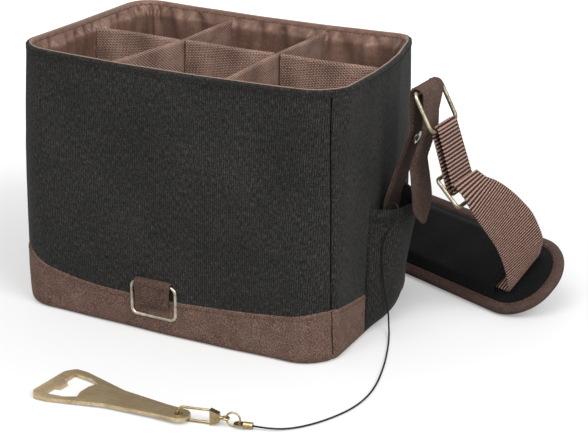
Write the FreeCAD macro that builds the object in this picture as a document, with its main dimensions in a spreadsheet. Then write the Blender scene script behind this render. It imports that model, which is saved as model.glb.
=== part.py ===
import FreeCAD
import Part
import Sketcher
import math
import os

# Six-cell bottle caddy: padded canvas walls with a suede foot band, sewn dividers,
# a shoulder strap on two side rings, a front ring and an opener on a tether cord.
# Millimetres, +Z up, origin at the middle of the underside.

V = FreeCAD.Vector
doc = FreeCAD.newDocument("bottle_caddy")
sheet = doc.addObject("Spreadsheet::Sheet", "Sizes")

SIZES = {
    # bag body
    "top_width": 248, "top_depth": 162, "bottom_width": 250, "bottom_depth": 174,
    "bag_height": 195, "top_corner": 22, "bottom_corner": 26,
    "rim_sag": 2.5, "hem_height": 7, "band_low": 26, "band_high": 46,
    "canvas_thick": 1.6, "foam_thick": 3, "lining_thick": 0.8, "layer_gap": 0.2,
    "base_thick": 2.4, "base_edge": 2, "board_thick": 2.4,
    "overrun": 40,
    # dividers
    "divider_thick": 5, "divider_drop": 11, "divider_gap": 0.3,
    # opener pocket
    "pocket_width": 68, "pocket_side": 12, "pocket_foot": 3, "pocket_mouth": 95,
    "pocket_foot_bulge": 9, "pocket_mouth_bulge": 22, "pocket_wall": 1.2, "pocket_gap": 0.3,
    # wire rings
    "ring_wire": 3, "ring_clear": 0.3, "ring_corner": 4.5,
    "side_ring_wide": 41, "side_ring_tall": 29,
    "front_ring_wide": 36.4, "front_ring_tall": 24.5, "front_ring_wire": 2.6,
    # suede tabs
    "tab_thick": 1.8, "tab_width": 36, "tab_gap": 0.3, "tab_fold_radius": 4.2,
    "tab_fold_height": 179, "tab_foot_height": 68, "tab_leave_height": 78, "left_tab_drop": 8,
    "tab_stand_height": 98, "tab_upright": 26, "tab_bend": 14,
    "tab_waist_height": 130, "tab_tip_height": 87, "tab_tip_cut": 13,
    "tab_side": 4,
    "right_tab_stand": 6, "right_tab_fold": 32, "right_tab_waist": 30, "right_tab_tip": 35,
    "left_tab_stand": 7, "left_tab_fold": 22, "left_tab_waist": 22, "left_tab_tip": 24,
    "right_ring_slope": 62, "left_ring_slope": 69,
    "stud_diameter": 10, "stud_height": 2, "stud_drop": 34, "stud_lip": 0.8,
    # front loop tab
    "front_tab_width": 29, "front_tab_thick": 1.6, "front_tab_side": -7.5,
    "front_tab_foot": 22, "front_ring_level": 37.5, "front_tab_gap": 0.4,
    # strap
    "web_width": 37, "web_thick": 1.4, "web_clear": 0.3,
    "loop_length": 42.5, "loop_slope": 72, "left_loop_length": 28, "left_loop_slope": 88,
    "slider_long": 23.4, "slider_wide": 42.4, "slider_wire": 2.8, "slider_bar": 2.6,
    "slider_slope": 47, "slider_corner": 3, "loop_width": 33,
    "web_bulge": 14, "web_start": 6, "web_overlap": 0.6,
    # shoulder pad
    "pad_length": 250, "pad_width": 70, "pad_end_radius": 33, "pad_thick": 10,
    "pad_edge_thick": 4.8, "pad_mid_thick": 8, "pad_binding": 7, "pad_binding_thick": 6,
    "pad_binding_round": 1.6, "pad_crown_inset": 18, "pad_mid_inset": 7,
    "pad_heading": -22.5, "pad_lean": 53.4, "pad_x": 113.2, "pad_y": 121.6,
    "sleeve_inset": 38, "sleeve_thick": 1.2, "sleeve_flat": 42, "sleeve_gap": 0.4,
    "sleeve_edge": 0.5, "web_entry": 22, "web_tuck": 24,
    # tether
    "cord_diameter": 1.2, "anchor_width": 12, "anchor_tall": 14, "anchor_thick": 1.6,
    "anchor_side": -8, "anchor_level": 46,
    "chain_x": 80, "chain_y": -197, "chain_heading": 13.9, "chain_axis": 5.3,
    "hook_wire": 1.8, "hook_reach": 22, "hook_nose": 8,
    "gate_wire": 1.6, "gate_gap": 0.3,
    "clip_long": 6, "clip_wide": 4.4, "clip_tall": 10.6, "clip_neck_tall": 6,
    "post_diameter": 2.4, "post_long": 1.6, "post_gap": 0.1, "eye_radius": 2.2, "eye_wire": 1.4,
    "split_radius": 4.6, "split_wire": 1.2, "link_gap": 0.3,
    "tongue_thick": 1.2, "tongue_wide": 6.2, "tongue_hole": 3.4, "tongue_long": 3.6,
    "ferrule_diameter": 4.4, "ferrule_long": 6,
    # opener
    "opener_length": 112, "opener_head": 47, "opener_thick": 2.5, "opener_heading": -2,
    "opener_tilt": 1.2, "opener_hole": 5.6, "opener_hole_inset": 7.5, "opener_round": 4,
}
for row, (alias, number) in enumerate(SIZES.items(), start=1):
    sheet.set("A%d" % row, str(number))
    sheet.setAlias("A%d" % row, alias)
    sheet.set("B%d" % row, alias.replace("_", " "))
doc.recompute()

nodes = {}


def val(alias):
    return float(sheet.get(alias))


def keep(label, obj):
    obj.Label = label
    nodes[label] = obj
    return obj


def plane_of(body, role):
    return [item for item in body.Origin.OriginFeatures if item.Role == role][0]


def bind(sketch, constraint, expression):
    number = sketch.addConstraint(constraint)
    sketch.setExpression("Constraints[%d]" % number, expression)


def fill_rounded(sketch, width, depth, radius):
    """Rounded rectangle about the sketch origin, bound to three expressions."""
    w, d, r = val("top_width") / 2, val("top_depth") / 2, val("top_corner")
    quarter = math.pi / 2
    up = V(0, 0, 1)
    sketch.addGeometry([
        Part.LineSegment(V(-w + r, -d, 0), V(w - r, -d, 0)),
        Part.ArcOfCircle(Part.Circle(V(w - r, -d + r, 0), up, r), -quarter, 0),
        Part.LineSegment(V(w, -d + r, 0), V(w, d - r, 0)),
        Part.ArcOfCircle(Part.Circle(V(w - r, d - r, 0), up, r), 0, quarter),
        Part.LineSegment(V(w - r, d, 0), V(-w + r, d, 0)),
        Part.ArcOfCircle(Part.Circle(V(-w + r, d - r, 0), up, r), quarter, 2 * quarter),
        Part.LineSegment(V(-w, d - r, 0), V(-w, -d + r, 0)),
        Part.ArcOfCircle(Part.Circle(V(-w + r, -d + r, 0), up, r), 2 * quarter, 3 * quarter),
    ], False)
    rule = Sketcher.Constraint
    for first, second in ((0, 1), (2, 3), (4, 5), (6, 7)):
        sketch.addConstraint(rule("Tangent", first, 2, second, 1))
        sketch.addConstraint(rule("Tangent", second, 2, (first + 2) % 8, 1))
    sketch.addConstraint(rule("Horizontal", 4))
    sketch.addConstraint(rule("Vertical", 6))
    for other in (3, 5, 7):
        sketch.addConstraint(rule("Equal", 1, other))
    sketch.addConstraint(rule("Symmetric", 0, 1, 0, 2, -2))
    sketch.addConstraint(rule("Symmetric", 2, 1, 2, 2, -1))
    bind(sketch, rule("DistanceX", 6, 1, 2, 1, 2 * w), width)
    bind(sketch, rule("DistanceY", 0, 1, 4, 2, 2 * d), depth)
    bind(sketch, rule("Radius", 1, r), radius)


def plan(name, width, depth, radius, level):
    """Free rounded-rectangle sketch at a level above the floor."""
    sketch = doc.addObject("Sketcher::SketchObject", name)
    fill_rounded(sketch, width, depth, radius)
    sketch.setExpression("Placement.Base.z", level)
    return sketch


def loft(name, sections, ruled=True):
    solid = doc.addObject("Part::Loft", name)
    solid.Sections = sections
    solid.Solid = True
    solid.Ruled = ruled
    return solid


def boolean(kind, name, base, tool):
    result = doc.addObject("Part::" + kind, name)
    result.Base = base
    result.Tool = tool
    return result


def extrude(name, sketch, length):
    solid = doc.addObject("Part::Extrusion", name)
    solid.Base = sketch
    solid.DirMode = "Custom"
    solid.Dir = V(0, 0, 1)
    solid.setExpression("LengthFwd", length)
    solid.Solid = True
    return solid


def box(name, length, width, height, x="0", y="0", z="0"):
    solid = doc.addObject("Part::Box", name)
    for prop, text in (("Length", length), ("Width", width), ("Height", height),
                       ("Placement.Base.x", x), ("Placement.Base.y", y), ("Placement.Base.z", z)):
        solid.setExpression(prop, text)
    return solid


def cylinder(name, radius, height, x="0", y="0", z="0", turn=None):
    solid = doc.addObject("Part::Cylinder", name)
    if turn:
        solid.Placement = FreeCAD.Placement(V(0, 0, 0), FreeCAD.Rotation(*turn))
    for prop, text in (("Radius", radius), ("Height", height), ("Placement.Base.x", x),
                       ("Placement.Base.y", y), ("Placement.Base.z", z)):
        solid.setExpression(prop, text)
    return solid


ALONG_X = (V(0, 1, 0), 90)
ALONG_Y = (V(1, 0, 0), -90)


def total(terms):
    return sum(share * val(alias) for share, alias in terms)


def text(terms):
    return " + ".join("(%r) * Sizes.%s" % (share, alias) for share, alias in terms)


def fill_polygon(sketch, points):
    """Closed polygon whose corners are sums of shares of named sizes."""
    rule = Sketcher.Constraint
    flat = [V(total(x), total(y), 0) for x, y in points]
    count = len(flat)
    for k in range(count):
        sketch.addGeometry(Part.LineSegment(flat[k], flat[(k + 1) % count]), False)
    for k in range(count):
        sketch.addConstraint(rule("Coincident", k, 2, (k + 1) % count, 1))
    for k, (x, y) in enumerate(points):
        for way, terms, axis in (("DistanceX", x, -2), ("DistanceY", y, -1)):
            size = total(terms)
            if not terms:
                sketch.addConstraint(rule("PointOnObject", k, 1, axis))
            elif size > 0:
                bind(sketch, rule(way, -1, 1, k, 1, size), text(terms))
            else:
                bind(sketch, rule(way, k, 1, -1, 1, -size), "-(" + text(terms) + ")")


def rounded_path(points, radii):
    """Wire of straight runs joined by tangent arcs, one radius for each inner point."""
    edges = []
    here = points[0]
    for k in range(1, len(points) - 1):
        back = (points[k - 1] - points[k]).normalize()
        ahead = (points[k + 1] - points[k]).normalize()
        half = math.acos(max(-1.0, min(1.0, back.dot(ahead)))) / 2
        reach = radii[k - 1] / math.tan(half)
        start = points[k] + back * reach
        stop = points[k] + ahead * reach
        middle = points[k] + (back + ahead).normalize() * (radii[k - 1] / math.sin(half) - radii[k - 1])
        if (start - here).Length > val("layer_gap") / 100:
            edges.append(Part.LineSegment(here, start).toShape())
        edges.append(Part.Arc(start, middle, stop).toShape())
        here = stop
    if (points[-1] - here).Length > val("layer_gap") / 100:
        edges.append(Part.LineSegment(here, points[-1]).toShape())
    return Part.Wire(edges)


def feature(label, shape):
    obj = doc.addObject("Part::Feature", label)
    obj.Shape = shape
    return keep(label, obj)


# Wall layers are offsets from the outer face: canvas, foam, lining, then the dividers' room.
CANVAS_IN = "Sizes.canvas_thick"
FOAM_OUT = "(Sizes.canvas_thick + Sizes.layer_gap)"
FOAM_IN = "(Sizes.canvas_thick + Sizes.layer_gap + Sizes.foam_thick)"
LINING_OUT = "(Sizes.canvas_thick + 2 * Sizes.layer_gap + Sizes.foam_thick)"
LINING_IN = "(Sizes.canvas_thick + 2 * Sizes.layer_gap + Sizes.foam_thick + Sizes.lining_thick)"
DIVIDER_OUT = ("(Sizes.canvas_thick + 2 * Sizes.layer_gap + Sizes.foam_thick"
               " + Sizes.lining_thick + Sizes.divider_gap)")
BOARD_LOW = "(Sizes.base_thick + Sizes.layer_gap)"
LINING_LOW = "(Sizes.base_thick + 2 * Sizes.layer_gap + Sizes.board_thick)"
FLOOR_TOP = "(Sizes.base_thick + 2 * Sizes.layer_gap + Sizes.board_thick + Sizes.lining_thick)"


def wall_block(name, offset):
    foot = plan(name + "_foot", "Sizes.bottom_width - 2 * " + offset,
                "Sizes.bottom_depth - 2 * " + offset, "Sizes.bottom_corner - " + offset, "0")
    rim = plan(name + "_rim", "Sizes.top_width - 2 * " + offset,
               "Sizes.top_depth - 2 * " + offset, "Sizes.top_corner - " + offset, "Sizes.bag_height")
    return loft(name, [foot, rim])


outer_block = wall_block("outer_block", "0")
canvas_block = wall_block("canvas_block", CANVAS_IN)
foam_outer_block = wall_block("foam_outer_block", FOAM_OUT)
foam_inner_block = wall_block("foam_inner_block", FOAM_IN)
lining_outer_block = wall_block("lining_outer_block", LINING_OUT)
lining_inner_block = wall_block("lining_inner_block", LINING_IN)
divider_block = wall_block("divider_block", DIVIDER_OUT)

canvas_shell = boolean("Cut", "canvas_shell", outer_block, canvas_block)
foam_shell = boolean("Cut", "foam_shell", foam_outer_block, foam_inner_block)
hem_shell = boolean("Cut", "hem_shell", outer_block, lining_inner_block)

# Four wedges part the walls at the corner seams.
half_w = [(0.5, "bottom_width"), (-1, "bottom_corner")]
half_d = [(0.5, "bottom_depth"), (-1, "bottom_corner")]
less_w = [(-0.5, "bottom_width"), (1, "bottom_corner")]
less_d = [(-0.5, "bottom_depth"), (1, "bottom_corner")]
more, less = [(1, "overrun")], [(-1, "overrun")]
WEDGES = {
    "front": [(less_w, less_d), (less_w + less, less_d + less),
              (half_w + more, less_d + less), (half_w, less_d)],
    "back": [(less_w, half_d), (half_w, half_d),
             (half_w + more, half_d + more), (less_w + less, half_d + more)],
    "right": [(half_w, less_d), (half_w + more, less_d + less),
              (half_w + more, half_d + more), (half_w, half_d)],
    "left": [(less_w, less_d), (less_w, half_d),
             (less_w + less, half_d + more), (less_w + less, less_d + less)],
}
wedge = {}
for side, corners in WEDGES.items():
    outline = doc.addObject("Sketcher::SketchObject", side + "_wedge_plan")
    fill_polygon(outline, corners)
    outline.setExpression("Placement.Base.z", "Sizes.base_thick")
    wedge[side] = extrude(side + "_wedge", outline, "Sizes.bag_height")

# The band's top edge and the rim dip between the corners, as parts of large cylinders.
RISE = "(Sizes.band_high - Sizes.band_low)"
LONG_SCALLOP = "((Sizes.bottom_width ^ 2 / 4 + %s ^ 2) / (2 * %s))" % (RISE, RISE)
SHORT_SCALLOP = "((Sizes.bottom_depth ^ 2 / 4 + %s ^ 2) / (2 * %s))" % (RISE, RISE)
SAG = "((Sizes.top_width ^ 2 / 4 + Sizes.rim_sag ^ 2) / (2 * Sizes.rim_sag))"
scallop = {}
for side in ("front", "back"):
    scallop[side] = cylinder(side + "_scallop", LONG_SCALLOP, "Sizes.bottom_depth + 2 * Sizes.overrun",
                             y="-(Sizes.bottom_depth / 2 + Sizes.overrun)",
                             z="Sizes.band_low + " + LONG_SCALLOP, turn=ALONG_Y)
for side in ("right", "left"):
    scallop[side] = cylinder(side + "_scallop", SHORT_SCALLOP, "Sizes.bottom_width + 2 * Sizes.overrun",
                             x="-(Sizes.bottom_width / 2 + Sizes.overrun)",
                             z="Sizes.band_low + " + SHORT_SCALLOP, turn=ALONG_X)
rim_dip = cylinder("rim_dip", SAG, "Sizes.bottom_depth + 2 * Sizes.overrun",
                   y="-(Sizes.bottom_depth / 2 + Sizes.overrun)",
                   z="Sizes.bag_height - Sizes.rim_sag + " + SAG, turn=ALONG_Y)
hem_dip = cylinder("hem_dip", SAG, "Sizes.bottom_depth + 2 * Sizes.overrun",
                   y="-(Sizes.bottom_depth / 2 + Sizes.overrun)",
                   z="Sizes.bag_height - Sizes.rim_sag - Sizes.hem_height + " + SAG, turn=ALONG_Y)

for side in ("front", "back", "left", "right"):
    skin = boolean("Common", side + "_skin", canvas_shell, wedge[side])
    upper = boolean("Common", side + "_upper_skin", skin, scallop[side])
    keep(side + "_panel", boolean("Cut", side + "_panel", upper, hem_dip))
    keep(side + "_band", boolean("Cut", side + "_band", skin, scallop[side]))
    pad = boolean("Common", side + "_foam_full", foam_shell, wedge[side])
    keep(side + "_foam", boolean("Cut", side + "_foam", pad, hem_dip))
    turned = boolean("Common", side + "_hem_full", hem_shell, wedge[side])
    turned_top = boolean("Common", side + "_hem_top", turned, hem_dip)
    keep(side + "_hem", boolean("Cut", side + "_hem", turned_top, rim_dip))

# Underside: a suede base with an eased edge, and the stiff board above it.
base_foot = plan("base_foot", "Sizes.bottom_width - 2 * Sizes.base_edge",
                 "Sizes.bottom_depth - 2 * Sizes.base_edge", "Sizes.bottom_corner - Sizes.base_edge", "0")
base_top = plan("base_top", "Sizes.bottom_width", "Sizes.bottom_depth", "Sizes.bottom_corner",
                "Sizes.base_thick")
keep("base_panel", loft("base_panel", [base_foot, base_top]))
board_slab = box("board_slab", "Sizes.bottom_width", "Sizes.bottom_depth", "Sizes.board_thick",
                 "-Sizes.bottom_width / 2", "-Sizes.bottom_depth / 2", BOARD_LOW)
keep("base_board", boolean("Common", "base_board", foam_inner_block, board_slab))

# Lining: an open box of thin cloth inside the foam.
lining_room = box("lining_room", "Sizes.bottom_width", "Sizes.bottom_depth", "Sizes.bag_height",
                  "-Sizes.bottom_width / 2", "-Sizes.bottom_depth / 2", LINING_LOW)
lining_hollow = box("lining_hollow", "Sizes.bottom_width", "Sizes.bottom_depth", "Sizes.bag_height",
                    "-Sizes.bottom_width / 2", "-Sizes.bottom_depth / 2", FLOOR_TOP)
lining_full = boolean("Common", "lining_full", lining_outer_block, lining_room)
lining_inside = boolean("Common", "lining_inside", lining_inner_block, lining_hollow)
lining_open = boolean("Cut", "lining_open", lining_full, lining_inside)
keep("lining", boolean("Cut", "lining", lining_open, hem_dip))

# Dividers: rounded top edges, two across and three lengths between them.
DIVIDER_LOW = "(" + FLOOR_TOP + " + Sizes.divider_gap)"
DIVIDER_TALL = ("(Sizes.bag_height - Sizes.rim_sag - Sizes.divider_drop - Sizes.divider_thick / 2 - "
                + DIVIDER_LOW + ")")
CROSS_X = "((Sizes.top_width - 2 * " + LINING_IN + ") / 6)"
LENGTH_Y = "(Sizes.bottom_depth)"


def divider(label, along, x, y, length):
    """Flat panel with a half-round top edge, trimmed to the lined walls."""
    if along == "Y":
        slab = box(label + "_slab", "Sizes.divider_thick", length, DIVIDER_TALL,
                   x + " - Sizes.divider_thick / 2", y, DIVIDER_LOW)
        edge = cylinder(label + "_edge", "Sizes.divider_thick / 2", length, x, y,
                        DIVIDER_LOW + " + " + DIVIDER_TALL, turn=ALONG_Y)
    else:
        slab = box(label + "_slab", length, "Sizes.divider_thick", DIVIDER_TALL,
                   x, y + " - Sizes.divider_thick / 2", DIVIDER_LOW)
        edge = cylinder(label + "_edge", "Sizes.divider_thick / 2", length, x, y,
                        DIVIDER_LOW + " + " + DIVIDER_TALL, turn=ALONG_X)
    whole = boolean("Fuse", label + "_whole", slab, edge)
    keep(label, boolean("Common", label, whole, divider_block))


divider("left_cross_divider", "Y", "-" + CROSS_X, "-Sizes.bottom_depth / 2", LENGTH_Y)
divider("right_cross_divider", "Y", CROSS_X, "-Sizes.bottom_depth / 2", LENGTH_Y)
SIDE_GAP = "(Sizes.divider_thick / 2 + Sizes.divider_gap)"
divider("left_long_divider", "X", "-Sizes.bottom_width / 2", "0",
        "Sizes.bottom_width / 2 - " + CROSS_X + " - " + SIDE_GAP)
divider("middle_long_divider", "X", "-" + CROSS_X + " + " + SIDE_GAP, "0",
        "2 * " + CROSS_X + " - 2 * " + SIDE_GAP)
divider("right_long_divider", "X", CROSS_X + " + " + SIDE_GAP, "0",
        "Sizes.bottom_width / 2 - " + CROSS_X + " - " + SIDE_GAP)

# Opener pocket: a bellied pouch sewn to the right wall, open at the top.
def bow(name, half, bulge, level, inset):
    """D-shaped plan: a straight back on the wall and one bowed front."""
    sketch = doc.addObject("Sketcher::SketchObject", name)
    h = val("pocket_width") / 2
    b = val("pocket_mouth_bulge")
    sketch.addGeometry(Part.Arc(V(0, -h, 0), V(b, 0, 0), V(0, h, 0)), False)
    sketch.addGeometry(Part.LineSegment(V(0, h, 0), V(0, -h, 0)), False)
    rule = Sketcher.Constraint
    sketch.addConstraint(rule("Coincident", 0, 2, 1, 1))
    sketch.addConstraint(rule("Coincident", 0, 1, 1, 2))
    sketch.addConstraint(rule("Symmetric", 0, 1, 0, 2, -1))
    sketch.addConstraint(rule("PointOnObject", 0, 1, -2))
    bind(sketch, rule("DistanceY", 0, 1, 0, 2, 2 * h), "2 * " + half)
    bind(sketch, rule("Radius", 0, (h * h + b * b) / (2 * b)),
         "(%s ^ 2 + %s ^ 2) / (2 * %s)" % (half, bulge, bulge))
    sketch.setExpression("Placement.Base.x", "Sizes.bottom_width / 2 + Sizes.pocket_gap + " + inset)
    sketch.setExpression("Placement.Base.y", "Sizes.pocket_side")
    sketch.setExpression("Placement.Base.z", level)
    return sketch


POCKET_HALF = "(Sizes.pocket_width / 2)"
POCKET_IN = "(Sizes.pocket_width / 2 - 2 * Sizes.pocket_wall)"
pouch = loft("pouch", [
    bow("pouch_foot", POCKET_HALF, "Sizes.pocket_foot_bulge", "Sizes.pocket_foot", "0"),
    bow("pouch_mouth", POCKET_HALF, "Sizes.pocket_mouth_bulge", "Sizes.pocket_mouth", "0")])
pouch_room = loft("pouch_room", [
    bow("room_foot", POCKET_IN, "(Sizes.pocket_foot_bulge - 2 * Sizes.pocket_wall)",
        "Sizes.pocket_foot + Sizes.pocket_wall", "Sizes.pocket_wall"),
    bow("room_mouth", POCKET_IN, "(Sizes.pocket_mouth_bulge - 2 * Sizes.pocket_wall)",
        "Sizes.pocket_mouth", "Sizes.pocket_wall")])
keep("opener_pocket", boolean("Cut", "opener_pocket", pouch, pouch_room))


# Wire rings: a round wire swept along a rounded rectangle, hung from its upper bar.
def wire_ring(label, wide, tall, wire, corner, place):
    body = doc.addObject("PartDesign::Body", label + "_body")
    path = body.newObject("Sketcher::SketchObject", label + "_path")
    path.AttachmentSupport = [(plane_of(body, "XZ_Plane"), "")]
    path.MapMode = "FlatFace"
    fill_rounded(path, wide, tall, corner)
    section = body.newObject("Sketcher::SketchObject", label + "_section")
    section.AttachmentSupport = [(plane_of(body, "YZ_Plane"), "")]
    section.MapMode = "FlatFace"
    rule = Sketcher.Constraint
    section.addGeometry(Part.Circle(V(0, -val("top_depth") / 2, 0), V(0, 0, 1), val("ring_wire") / 2), False)
    bind(section, rule("Diameter", 0, val("ring_wire")), wire)
    section.addConstraint(rule("PointOnObject", 0, 3, -2))
    bind(section, rule("DistanceY", 0, 3, -1, 1, val("top_depth") / 2), tall + " / 2")
    doc.recompute()
    pipe = body.newObject("PartDesign::AdditivePipe", label + "_wire")
    pipe.Profile = (section, [""])
    pipe.Spine = (path, [""])
    body.Placement = place
    return body


def wall_at(level, low, high):
    """Half size of the outer wall at a level, between its foot and rim sizes."""
    return (val(low) + (val(high) - val(low)) * level / val("bag_height")) / 2


def turn_y(degrees):
    return FreeCAD.Rotation(V(0, 1, 0), degrees)


# Side tabs: one suede strip that leaves the wall inside the pocket, folds over the ring's bar
# and hangs free outside, with a pointed end.
tab_mid = val("tab_fold_radius") + val("tab_thick") / 2
bar_lift = val("tab_fold_radius") - val("ring_wire") / 2 - val("ring_clear")


def side_tab(label, sign, level, stand, fold, waist, tip):
    wall = val("bottom_width") / 2
    skin = wall + val("tab_gap") + val("tab_thick") / 2
    if sign > 0:
        skin = wall + val("pocket_gap") + val("pocket_wall") + val("tab_gap") + val("tab_thick") / 2
    fold_x = wall + fold
    side = val("tab_side")
    top = level + tab_mid
    raw = [(skin, val("tab_foot_height")), (skin, val("tab_leave_height")),
           (wall + stand, val("tab_stand_height")), (fold_x - tab_mid, level - val("tab_upright")),
           (fold_x - tab_mid, top), (fold_x + tab_mid, top),
           (fold_x + tab_mid, level - val("tab_upright")), (wall + waist, val("tab_waist_height")),
           (wall + tip, val("tab_tip_height"))]
    points = [V(sign * x, side, z) for x, z in raw]
    bend = val("tab_bend")
    spine = rounded_path(points, [bend, bend, bend, tab_mid, tab_mid, bend, bend])
    t, w = val("tab_thick") / 2, val("tab_width") / 2
    start = points[0]
    section = Part.makePolygon([start + V(-t, -w, 0), start + V(t, -w, 0), start + V(t, w, 0),
                                start + V(-t, w, 0), start + V(-t, -w, 0)])
    strip = spine.makePipeShell([section], True, False)
    # The free end comes to a point between two slanting cuts.
    low = val("tab_tip_height") - val("tab_tip_cut")
    for way in (-1, 1):
        inner = wall + (stand + waist) / 2
        corner = V(sign * inner, side + way * (w + val("tab_thick")), low)
        knife = Part.Face(Part.makePolygon([
            corner, corner + V(0, 0, 2 * val("tab_tip_cut") + val("tab_thick")),
            V(sign * inner, side, low), corner]))
        strip = strip.cut(knife.extrude(V(sign * val("overrun"), 0, 0)))
    feature(label, strip)
    return V(sign * fold_x, side, level)


right_level = val("tab_fold_height")
left_level = val("tab_fold_height") - val("left_tab_drop")
right_fold = side_tab("right_tab", 1, right_level, val("right_tab_stand"), val("right_tab_fold"),
                      val("right_tab_waist"), val("right_tab_tip"))
left_fold = side_tab("left_tab", -1, left_level, val("left_tab_stand"), val("left_tab_fold"),
                     val("left_tab_waist"), val("left_tab_tip"))


# Side rings: the upper bar rests in the fold, the lower bar carries the strap.
def side_ring(label, fold, sign, slope):
    bar = fold + V(0, 0, bar_lift)
    arm = V(sign * math.cos(math.radians(slope)), 0, -math.sin(math.radians(slope)))
    half = val("side_ring_tall") / 2
    turn = FreeCAD.Rotation(V(0, 1, 0), -sign * (90 - slope)).multiply(FreeCAD.Rotation(V(0, 0, 1), 90))
    place = FreeCAD.Placement(bar + arm * half, turn)
    ring = wire_ring(label, "Sizes.side_ring_wide", "Sizes.side_ring_tall", "Sizes.ring_wire",
                     "Sizes.ring_corner", place)
    keep(label, ring)
    return bar, bar + arm * val("side_ring_tall")


right_bar, right_low = side_ring("right_ring", right_fold, 1, val("right_ring_slope"))
left_bar, left_low = side_ring("left_ring", left_fold, -1, val("left_ring_slope"))


# Press-studs: the stud stands on the wall side layer, the socket on the hanging layer.
def stud(label, sign, level, high, low, outward):
    """Turned stud: flange and rounded head, square to the straight layer between two points."""
    r = val("stud_diameter") / 2
    tall = val("stud_height")
    lip = val("stud_lip")
    profile = Part.makePolygon([V(0, 0, 0), V(r, 0, 0), V(r, 0, lip), V(r - lip, 0, lip + lip / 2),
                                V(r / 2, 0, lip + lip / 2), V(r / 2 - lip, 0, tall), V(0, 0, tall), V(0, 0, 0)])
    obj = feature(label, Part.Face(profile).revolve(V(0, 0, 0), V(0, 0, 1), 360))
    share = (level - low[1]) / (high[1] - low[1])
    x = val("bottom_width") / 2 + low[0] + share * (high[0] - low[0])
    tilt = math.degrees(math.atan2(high[0] - low[0], high[1] - low[1]))
    turn = turn_y(sign * (90 * outward + tilt))
    lift = turn.multVec(V(0, 0, val("tab_thick") / 2 + val("layer_gap")))
    obj.Placement = FreeCAD.Placement(V(sign * x, val("tab_side"), level) + lift, turn)


for label, sign, level, stand, fold, waist in (
        ("right", 1, right_level, val("right_tab_stand"), val("right_tab_fold"), val("right_tab_waist")),
        ("left", -1, left_level, val("left_tab_stand"), val("left_tab_fold"), val("left_tab_waist"))):
    elbow = level - val("tab_upright")
    at = level - val("stud_drop")
    stud(label + "_stud", sign, at, (fold - tab_mid, elbow), (stand, val("tab_stand_height")), 1)
    stud(label + "_socket", sign, at, (fold + tab_mid, elbow), (waist, val("tab_waist_height")), -1)

# Front loop tab: a doubled strip sewn into the band's top seam, round the front ring's bar.
tab_room = val("front_ring_wire") / 2 + val("front_tab_gap")
FRONT_ROOM = "(Sizes.front_ring_wire / 2 + Sizes.front_tab_gap)"
FRONT_OUT = "(Sizes.front_ring_wire / 2 + Sizes.front_tab_gap + Sizes.front_tab_thick)"
FRONT_WALL = ("((Sizes.bottom_depth + (Sizes.top_depth - Sizes.bottom_depth)"
              " * Sizes.front_tab_foot / Sizes.bag_height) / 2)")
FRONT_Y = "-(" + FRONT_WALL + " + Sizes.tab_gap + " + FRONT_OUT + ")"
FRONT_X = "(Sizes.front_tab_side - Sizes.front_tab_width / 2)"
FRONT_TOP = "(Sizes.front_ring_level - Sizes.front_tab_gap + Sizes.ring_clear)"
tab_leaf = box("front_tab_leaf", "Sizes.front_tab_width", "2 * " + FRONT_OUT,
               FRONT_TOP + " - Sizes.front_tab_foot", FRONT_X, FRONT_Y + " - " + FRONT_OUT,
               "Sizes.front_tab_foot")
tab_nose = cylinder("front_tab_nose", FRONT_OUT, "Sizes.front_tab_width", FRONT_X, FRONT_Y, FRONT_TOP,
                    turn=ALONG_X)
tab_slot = box("front_tab_slot", "Sizes.front_tab_width", "2 * " + FRONT_ROOM,
               FRONT_TOP + " - Sizes.front_tab_foot", FRONT_X, FRONT_Y + " - " + FRONT_ROOM,
               "Sizes.front_tab_foot")
tab_bore = cylinder("front_tab_bore", FRONT_ROOM, "Sizes.front_tab_width", FRONT_X, FRONT_Y, FRONT_TOP,
                    turn=ALONG_X)
front_solid = boolean("Fuse", "front_tab_solid", tab_leaf, tab_nose)
front_hollow = boolean("Fuse", "front_tab_hollow", tab_slot, tab_bore)
keep("front_tab", boolean("Cut", "front_tab", front_solid, front_hollow))
front_y = -(wall_at(val("front_tab_foot"), "bottom_depth", "top_depth") + val("tab_gap")
            + tab_room + val("front_tab_thick"))
front_bar = V(val("front_tab_side"), front_y, val("front_ring_level"))
keep("front_ring", wire_ring("front_ring", "Sizes.front_ring_wide", "Sizes.front_ring_tall",
                             "Sizes.front_ring_wire", "Sizes.ring_corner",
                             FreeCAD.Placement(front_bar - V(0, 0, val("front_ring_tall") / 2),
                                               FreeCAD.Rotation(V(1, 0, 0), 0))))


# Strap loops: a belt of webbing round the ring's lower bar, closed at its other end.
def belt(label, start, sign, slope, length):
    core = val("ring_wire") / 2 + val("web_clear")
    rim = core + val("web_thick")

    def racetrack(r):
        y = -val("loop_width") / 2
        top = Part.Arc(V(0, y, r), V(-r, y, 0), V(0, y, -r)).toShape()
        low = Part.LineSegment(V(0, y, -r), V(length, y, -r)).toShape()
        end = Part.Arc(V(length, y, -r), V(length + r, y, 0), V(length, y, r)).toShape()
        high = Part.LineSegment(V(length, y, r), V(0, y, r)).toShape()
        return Part.Wire([top, low, end, high])

    face = Part.Face([racetrack(rim), racetrack(core)])
    face.validate()
    obj = feature(label, face.extrude(V(0, val("loop_width"), 0)))
    turn = turn_y(slope if sign > 0 else 180 - slope)
    obj.Placement = FreeCAD.Placement(start, turn)
    along = turn.multVec(V(1, 0, 0))
    return start + along * length


slider_at = belt("strap_loop", right_low, 1, val("loop_slope"), val("loop_length"))
left_end = belt("left_loop", left_low, -1, val("left_loop_slope"), val("left_loop_length"))

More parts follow.
